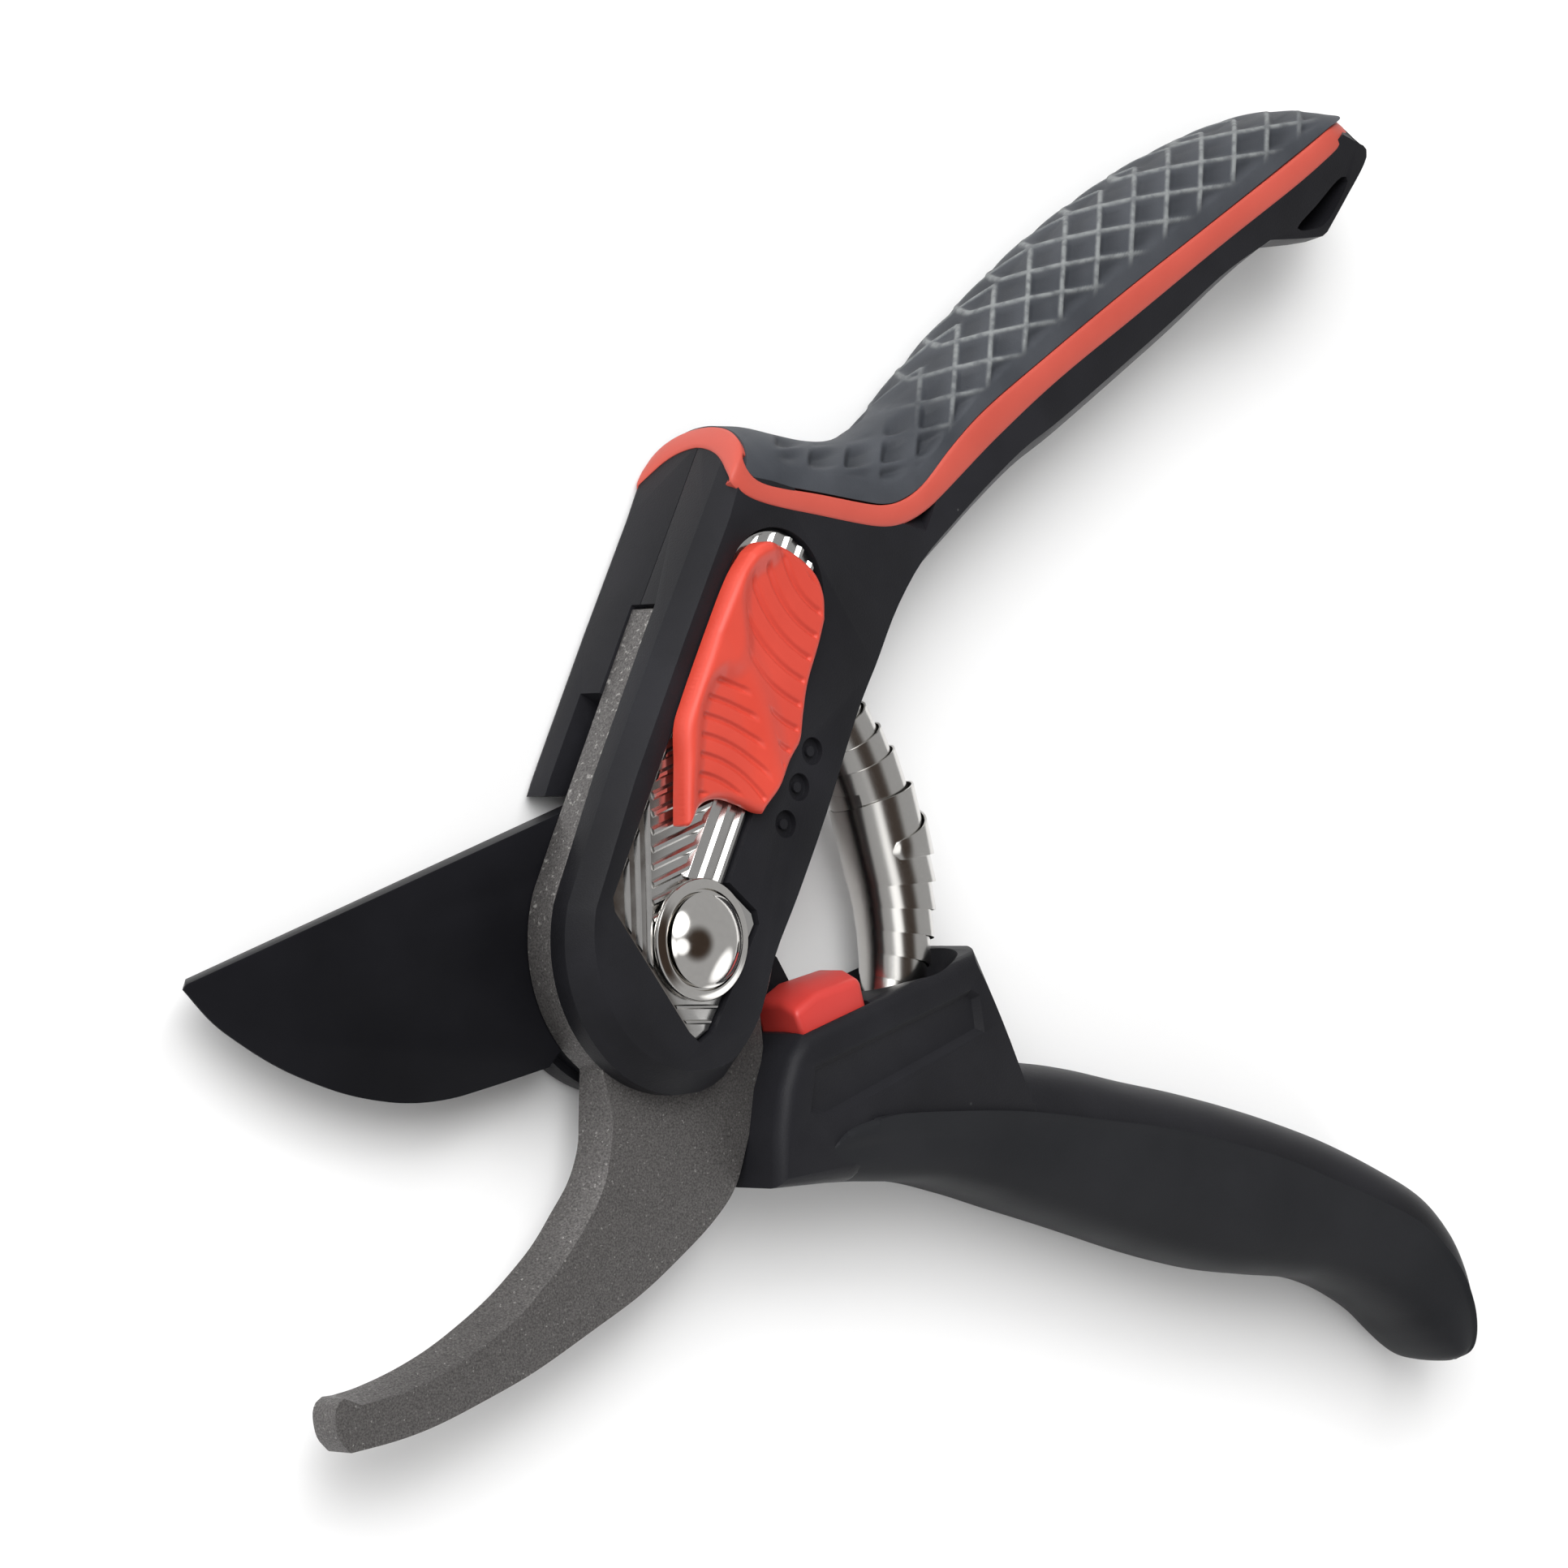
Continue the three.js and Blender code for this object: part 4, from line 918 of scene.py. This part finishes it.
def nut():
    """The hexagon nut, its corners turned off on one face."""
    corner = NUT_ACROSS_FLATS / math.sqrt(3)
    profile = [(0, 0), (corner, 0), (corner, NUT_HEIGHT), (0, NUT_HEIGHT)]
    body = turned("pivot_nut_skin", profile, sides=6)
    cut(body, rod("bore", (0, 0, -1), (0, 0, 5), SHANK_RADIUS + 0.4))
    crown = turned("crown", [(0, -3.1), (corner + 3.6, 0.9), (corner + 3.6, 5), (0, 5)], sides=64)
    return rounded_edges(keep_inside(body, crown), 0.12, 2, 25)


# ---- volute spring --------------------------------------------------------------------------

SPRING_START, SPRING_END = -15.0, 52.5    # degrees on its arc
STRIP_WIDTH = 11.0
STRIP_THICK = 0.25
TURN_STEP = 3.0                  # each turn stands out this much from the one round it
TURN_SHRINK = 0.29
STATIONS_A_TURN = 44
# For each half: way it climbs, start from the middle, turns before it climbs, angle it starts at
# and outermost radius.
HALVES = {"upper": (1, 1.6, 0.0, 2.55, 4.85), "lower": (-1, 0.0, 1.0, 2.2, 5.5)}
# The strip's outline: places across its width and its thickness, with the edges broken.
STRIP_OUTLINE = ((-0.5, -0.2), (-0.5, -0.04), (-0.485, 0), (0.485, 0), (0.5, -0.04),
                 (0.5, -0.2), (0.5, -0.96), (0.485, -1), (-0.485, -1), (-0.5, -0.96))


def strip_half(half):
    """One of the spring's two strips, wound inwards while it climbs to its end. The lower strip
    starts with a rounded tongue that laps round the middle; the upper one starts inside it."""
    half_length = math.radians(SPRING_END - SPRING_START) / 2 * SPRING_RADIUS
    middle = math.radians((SPRING_START + SPRING_END) / 2)
    last = half_length - STRIP_WIDTH / 2
    sign, first, held, phase, outermost = HALVES[half]
    turns = (last - first) / TURN_STEP + held
    turn = np.linspace(0, turns, int(turns * STATIONS_A_TURN))
    radius = outermost - TURN_SHRINK * turn
    centre = sign * (first + TURN_STEP * np.maximum(turn - held, 0))
    width = np.full(len(turn), STRIP_WIDTH)
    if half == "lower":
        tip = np.sqrt(1 - (1 - np.clip(turn / 0.035, 0, 1)) ** 2)
        width *= np.maximum((0.2 + 0.8 * smooth_step(turn, -0.06, 0.95)) * tip, 0.03)
        centre -= 1.3 * (1 - smooth_step(turn, 0.1, 0.95))
    around = phase + sign * turn * TURN
    rings = []
    for along_share, out_share in STRIP_OUTLINE:
        distance = radius + out_share * STRIP_THICK
        place = middle + (centre + along_share * width) / SPRING_RADIUS
        reach = SPRING_RADIUS + distance * np.cos(around)
        rings.append(np.column_stack([
            reach * np.cos(place), reach * np.sin(place), SPRING_HEIGHT + distance * np.sin(around)]))
    obj = loft("strip", list(np.stack(rings, axis=1)), smooth_under=math.radians(35))
    return obj, np.repeat(middle + centre / SPRING_RADIUS, len(rings))


def volute_spring():
    """Both halves of the strip, with the share of the lower handle's turn each point takes."""
    upper, upper_place = strip_half("upper")
    lower, lower_place = strip_half("lower")
    place = np.concatenate([upper_place, lower_place])
    share = (place.max() - place) / (place.max() - place.min())
    obj = join("volute_strip", [upper, lower])
    return obj, share


# ---- materials ------------------------------------------------------------------------------

class Nodes:
    """A node tree with short ways to add what most looks need."""

    def __init__(self, tree, coordinates):
        self.tree = tree
        self.place = tree.nodes.new("ShaderNodeTexCoord").outputs[coordinates]

    def link(self, output, socket):
        self.tree.links.new(output, socket)

    def node(self, kind, fed=None, **inputs):
        """A node with its inputs set, fed by another node's output at its first input."""
        node = self.tree.nodes.new(kind)
        for name, value in inputs.items():
            node.inputs[name.replace("_", " ")].default_value = value
        if fed:
            self.link(fed, node.inputs[0])
        return node

    def ranged(self, value, low, high, start=0.0, end=1.0, shape="LINEAR"):
        node = self.node("ShaderNodeMapRange", value, From_Min=low, From_Max=high, To_Min=start, To_Max=end)
        node.interpolation_type = shape
        return node.outputs["Result"]

    def along(self, vector, direction):
        """How far a vector points in a direction."""
        node = self.node("ShaderNodeVectorMath", vector)
        node.operation = "DOT_PRODUCT"
        node.inputs[1].default_value = direction
        return node.outputs["Value"]

    def blended(self, share, first, second):
        """A colour between two, by a share. Either may be another node's output."""
        node = self.node("ShaderNodeMix")
        node.data_type = "RGBA"
        colour_sockets = [s for s in node.inputs if s.type == "RGBA"]
        for socket, value in zip(colour_sockets, (first, second)):
            if isinstance(value, tuple):
                socket.default_value = (*value, 1)
            else:
                self.link(value, socket)
        self.link(share, node.inputs["Factor"])
        return next(s for s in node.outputs if s.type == "RGBA")


class Finish(Nodes):
    """A material made of nodes."""

    def __init__(self, name, colour, roughness, metallic=0.0):
        self.material = bpy.data.materials.new(name)
        self.material.use_nodes = True
        super().__init__(self.material.node_tree, "Object")
        self.inputs = self.tree.nodes["Principled BSDF"].inputs
        self.inputs["Base Color"].default_value = (*colour, 1)
        self.inputs["Roughness"].default_value = roughness
        self.inputs["Metallic"].default_value = metallic

    def colour(self, output):
        self.link(output, self.inputs["Base Color"])

    def roughness(self, output):
        self.link(output, self.inputs["Roughness"])

    def gloss(self, level):
        self.inputs["Specular IOR Level"].default_value = level

    def stretched(self, scale):
        """The object's own coordinates, stretched along its axes."""
        return self.node("ShaderNodeMapping", self.place, Scale=scale).outputs["Vector"]

    def noise(self, scale, detail, roughness=0.5, place=None):
        node = self.node("ShaderNodeTexNoise", place or self.place, Scale=scale, Detail=detail,
                         Roughness=roughness)
        return node.outputs["Fac"]

    def cells(self, scale, output="Distance"):
        return self.node("ShaderNodeTexVoronoi", self.place, Scale=scale).outputs[output]

    def attribute(self, name):
        node = self.node("ShaderNodeAttribute")
        node.attribute_name = name
        return node.outputs["Fac"]

    def product(self, a, b):
        """One output times another or times a number."""
        node = self.node("ShaderNodeMath", a)
        node.operation = "MULTIPLY"
        if isinstance(b, float):
            node.inputs[1].default_value = b
        else:
            self.link(b, node.inputs[1])
        return node.outputs["Value"]

    def bump(self, height, distance, strength):
        node = self.node("ShaderNodeBump", Strength=strength, Distance=distance)
        self.link(height, node.inputs["Height"])
        self.link(node.outputs["Normal"], self.inputs["Normal"])

    def axis(self, name):
        return self.node("ShaderNodeSeparateXYZ", self.place).outputs[name]

    def facing(self, direction):
        """How far the surface faces a direction of the object."""
        return self.along(self.tree.nodes["Texture Coordinate"].outputs["Normal"], direction)

    def specks(self, scale, size, share):
        """Small scattered dots, such as dust: one where a cell is chosen and near its centre."""
        near = self.ranged(self.cells(scale), size, size * 0.6)
        chosen = self.ranged(self.cells(scale, "Color"), 1 - share, 1 - share + 0.01)
        return self.product(near, chosen)


def coated(name, plain, tones, patch, dust, rough, grain, gloss=0.5, spread=0.15):
    """Plastic, rubber or paint: soft patches of two tones, a little dust and a fine grain.

    plain is the flat colour and roughness, patch the scale and detail of the patches, dust the
    scale, size, share and colour of the dots, and grain the scale, detail, depth and strength.
    """
    f = Finish(name, *plain)
    patches = f.noise(*patch)
    tone = f.blended(f.ranged(patches, 0.5 - spread, 0.5 + spread), *tones)
    f.colour(f.blended(f.specks(*dust[:3]), tone, dust[3]))
    f.roughness(f.ranged(patches, 0.3, 0.7, *rough))
    f.gloss(gloss)
    f.bump(f.noise(*grain[:2]), *grain[2:])
    return f.material


def nylon():
    tones = (0.008, 0.008, 0.0095), (0.0125, 0.0125, 0.015)
    dust = (420, 0.10, 0.04, (0.07, 0.07, 0.07))
    return coated("nylon", ((0.012, 0.012, 0.014), 0.55), tones, (60, 4.0), dust, (0.42, 0.52),
                  (4800, 2.0, 0.00005, 0.5), 0.17)


def cover_rubber():
    tones = (0.009, 0.0095, 0.011), (0.0145, 0.015, 0.017)
    dust = (260, 0.13, 0.04, (0.08, 0.08, 0.08))
    return coated("cover_rubber", ((0.012, 0.0125, 0.014), 0.5), tones, (45, 5.0), dust, (0.52, 0.66),
                  (3600, 3.0, 0.00004, 0.4), 0.16)


def bright_rubber(name, low, high, roughness):
    dust = (300, 0.12, 0.05, (0.7, 0.4, 0.32))
    return coated(name, (high, roughness), (low, high), (70, 4.0), dust,
                  (roughness - 0.05, roughness + 0.06), (2600, 3.0, 0.00003, 0.35))


def black_coat():
    tones = (0.005, 0.005, 0.006), (0.009, 0.009, 0.011)
    dust = (170, 0.09, 0.06, (0.2, 0.2, 0.2))
    return coated("black_coat", ((0.008, 0.008, 0.010), 0.4), tones, (35, 5.0), dust, (0.36, 0.46),
                  (4200, 2.0, 0.00002, 0.3), 0.06, 0.2)


def grip_rubber():
    f = Finish("grip_rubber", (0.04, 0.045, 0.052), 0.6)
    patches = f.noise(110, 5.0)
    tone = f.blended(f.ranged(patches, 0.3, 0.7), (0.028, 0.031, 0.037), (0.048, 0.052, 0.060))
    # Painted shade: the dents are painted darker, where shade falls in them.
    tone = f.blended(f.product(f.attribute("hollow"), 0.7), tone, (0.016, 0.018, 0.022))
    # The ridges are painted a paler grey in patches.
    pale_ridges = f.product(f.attribute("ridge"), f.ranged(f.noise(900, 3.0), 0.35, 0.6, 0.35, 0.85))
    f.colour(f.blended(pale_ridges, tone, (0.19, 0.20, 0.20)))
    f.bump(f.noise(4200, 2.0), 0.00006, 0.5)
    f.gloss(0.35)
    return f.material


def sand_coat():
    """Grey textured paint with bright flecks, and a painted highlight, broken up in spots, on the low
    left-facing edge.
    """
    f = Finish("sand_coat", (0.08, 0.076, 0.074), 0.5, 0.5)
    grain = f.noise(4200, 2.5, 0.6)
    flecks = f.cells(5200, "Color")
    tone = f.blended(f.ranged(grain, 0.32, 0.68), (0.055, 0.052, 0.051), (0.137, 0.13, 0.127))
    bright = f.blended(f.ranged(flecks, 0.88, 0.97), tone, (0.30, 0.29, 0.28))
    # Painted highlight: the low edge that faces left is painted paler in spots, as light from the left
    # falls on it.
    facing_left = f.ranged(f.facing((-math.cos(LEAN), math.sin(LEAN), 0)), 0.85, 0.97)
    painted_edge_highlight = f.product(facing_left, f.ranged(f.noise(1500, 3.0), 0.60, 0.68, 0.0, 0.7))
    painted_edge_highlight = f.product(painted_edge_highlight, f.ranged(f.axis("Y"), -0.016, -0.008))
    f.colour(f.blended(painted_edge_highlight, bright, (0.42, 0.41, 0.39)))
    f.roughness(f.ranged(grain, 0.3, 0.7, 0.58, 0.42))
    f.bump(grain, 0.00009, 0.7)
    return f.material


def metal(name, colour, roughness, stretch, strength, dark=0.75, spread=0.25):
    """Bare metal with faint grain lines in its tone, its roughness and, by strength, its relief."""
    f = Finish(name, colour, roughness, 1.0)
    lines = f.noise(1.0, 4.0, 0.6, f.stretched(stretch))
    f.colour(f.blended(f.ranged(lines, 0.3, 0.7), tuple(c * dark for c in colour), colour))
    f.roughness(f.ranged(lines, 0.3, 0.7, roughness * (1 - spread), roughness * (1 + spread)))
    if strength:
        f.bump(lines, 0.00002, strength)
    return f.material


def pale_floor():
    f = Finish("pale_floor", (0.9, 0.9, 0.9), 0.8)
    f.colour(f.blended(f.noise(6, 3.0), (0.77, 0.77, 0.77), (0.79, 0.79, 0.79)))
    return f.material


# ---- assembly -------------------------------------------------------------------------------

# How a piece is made, its look, its slot and the CAD node it stands for, body by body.
SKINS = {
    "upper_handle": [
        (front_shell, "nylon", "nylon", "upper_shell_front"),
        (rear_shell, "nylon", "nylon", "upper_shell_rear"),
        (stripe, "accent", "accent", "upper_grip_stripe"),
        (soft_grip, "grip", "soft_grey", "upper_grip_pad"),
        (hook, "sand", "coated_hook", "counter_blade"),
        (guide_plate, "plate", "chrome", "guide_plate"),
        (bolt, "chrome", "chrome", "pivot_bolt"),
        (flange, "chrome", "chrome", "pivot_washer_front"),
        (nut, "zinc", "zinc", "pivot_nut"),
    ],
    "lower_handle": [
        (blade, "black", "coated_blade", "cutting_blade"),
        (lower_frame, "nylon", "nylon", "lower_handle_frame"),
        (lower_cover, "cover", "soft_black", "lower_grip_cover"),
        (closing_bumper, "bumper", "bumper", "closing_bumper"),
    ],
    "slider": [(slider, "button", "button", "slider_button")],
}
# CAD nodes that stay as they are and only take a look.
CARRIED = {
    "zinc": ("pivot_washer_rear", "shell_screw_1", "shell_screw_2", "shell_screw_3", "lock_tongue",
             "slider_rivet", "tang_rivet_1", "tang_rivet_2"),
    "steel": ("detent_spring",),
    "bronze": ("pivot_bushing",),
}


def wear(obj, material):
    """Gives an object one material."""
    obj.data.materials.clear()
    obj.data.materials.append(material)


def assemble(frame, looks):
    """Makes every piece, dresses it, ties it to its body and hides the CAD node it stands for."""
    for body, skins in SKINS.items():
        for make, look, slot, node in skins:
            obj = make()
            wear(obj, looks[look])
            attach(obj, body)
            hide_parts(node)
    for look, nodes in CARRIED.items():
        for node in nodes:
            wear(frame["nodes"][node], looks[look])


def spring(looks):
    """The volute spring, dressed and put in place of the CAD node that it hides."""
    strip, share = volute_spring()
    wear(strip, looks["steel"])
    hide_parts("volute_spring")
    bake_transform(strip)


# ---- studio ---------------------------------------------------------------------------------

FLOOR = -0.4
FLOOR_REACH = 3000
SKY = 0.40
# Direction, cosines where the patch starts and is full, colour.
PATCHES = [((0.00, -0.12, 1.00), 0.83, 0.96, (0.12, 0.085, 0.065)),
           ((-0.60, 0.48, 0.64), 0.88, 0.98, (14.0, 14.0, 14.0)),
           ((-0.50, -0.20, 0.84), 0.955, 0.99, (4.0, 4.0, 4.0)),
           ((0.80, -0.45, 0.30), 0.92, 0.985, (4.0, 4.0, 4.0))]
# Name, place and size in metres, power in watts.
LIGHTS = [("key", (-0.62, 0.35, 0.62), (0.8, 0.8), 6),
          ("over", (-0.05, 0.75, 0.7), (0.6, 0.4), 3.5),
          ("side", (0.55, -0.75, 0.35), (0.25, 0.5), 3)]
LIGHT_AIM = (0.03, 0.02, 0.0)
# The camera's lens in millimetres, its place in metres and the directions it is turned to.
LENS = 149.07
VIEW_FROM = (-0.488341, 0.0, 0.554565)
VIEW_RIGHT = (0.73178, 0.0, 0.68154)
VIEW_FORWARD = (0.68134, 0.02399, -0.73157)


def soft_light(name, place, size, power):
    light = bpy.data.lights.new(name, "AREA")
    light.shape = "RECTANGLE"
    light.size, light.size_y = size
    light.energy = power
    obj = added(name, light)
    direction = Vector(LIGHT_AIM) - Vector(place)
    obj.location = place
    obj.rotation_euler = direction.to_track_quat("-Z", "Y").to_euler()
    obj.visible_glossy = False


def soft_sky():
    """Even pale light from all round, with a dim patch and bright patches for gloss to mirror."""
    world = bpy.data.worlds.new("studio")
    world.use_nodes = True
    nodes = Nodes(world.node_tree, "Generated")
    background = nodes.tree.nodes["Background"].inputs
    background["Strength"].default_value = SKY
    sky = (1, 1, 1)
    for direction, start, end, colour in PATCHES:
        aligned = nodes.along(nodes.place, Vector(direction).normalized())
        sky = nodes.blended(nodes.ranged(aligned, start, end, shape="SMOOTHSTEP"), sky, colour)
    nodes.link(sky, background["Color"])
    bpy.context.scene.world = world


def studio():
    corners = [(-FLOOR_REACH, -FLOOR_REACH), (FLOOR_REACH, -FLOOR_REACH),
               (FLOOR_REACH, FLOOR_REACH), (-FLOOR_REACH, FLOOR_REACH)]
    floor = piece("floor", at_height(np.array(corners), FLOOR), [(0, 1, 2, 3)])
    floor.data.materials.append(pale_floor())
    soft_sky()
    for light in LIGHTS:
        soft_light(*light)
    bpy.context.scene.view_settings.view_transform = "Standard"


def camera():
    """A long lens from the upper left that looks down on the tool."""
    data = bpy.data.cameras.new("camera")
    data.sensor_width = 36
    data.lens = LENS
    obj = added("camera", data)
    right = Vector(VIEW_RIGHT)
    forward = Vector(VIEW_FORWARD)
    turn = Matrix((right, right.cross(forward), -forward)).transposed().to_4x4()
    obj.matrix_world = Matrix.Translation(VIEW_FROM) @ turn
    bpy.context.scene.camera = obj


def main():
    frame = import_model()
    looks = {
        "nylon": nylon(), "grip": grip_rubber(), "cover": cover_rubber(),
        "accent": bright_rubber("accent_rubber", (0.38, 0.054, 0.036), (0.43, 0.066, 0.045), 0.5),
        "button": bright_rubber("button_plastic", (0.46, 0.042, 0.025), (0.51, 0.050, 0.030), 0.42),
        "bumper": bright_rubber("bumper_rubber", (0.42, 0.032, 0.026), (0.48, 0.040, 0.033), 0.45),
        "sand": sand_coat(), "black": black_coat(),
        "chrome": metal("chrome", (0.80, 0.78, 0.75), 0.1, (900, 900, 900), 0, 0.95),
        "plate": metal("plate_chrome", (0.66, 0.65, 0.635), 0.2, (500, 500, 500), 0, 0.95),
        "steel": metal("strip_steel", (0.70, 0.685, 0.66), 0.2, (2500, 2500, 9000), 0, 0.95, 0.05),
        "zinc": metal("zinc", (0.55, 0.56, 0.58), 0.35, (700, 700, 700), 0.4),
        "bronze": metal("bronze", (0.52, 0.33, 0.12), 0.4, (900, 900, 900), 0.4),
    }
    assemble(frame, looks)
    spring(looks)
    studio()
    camera()


main()
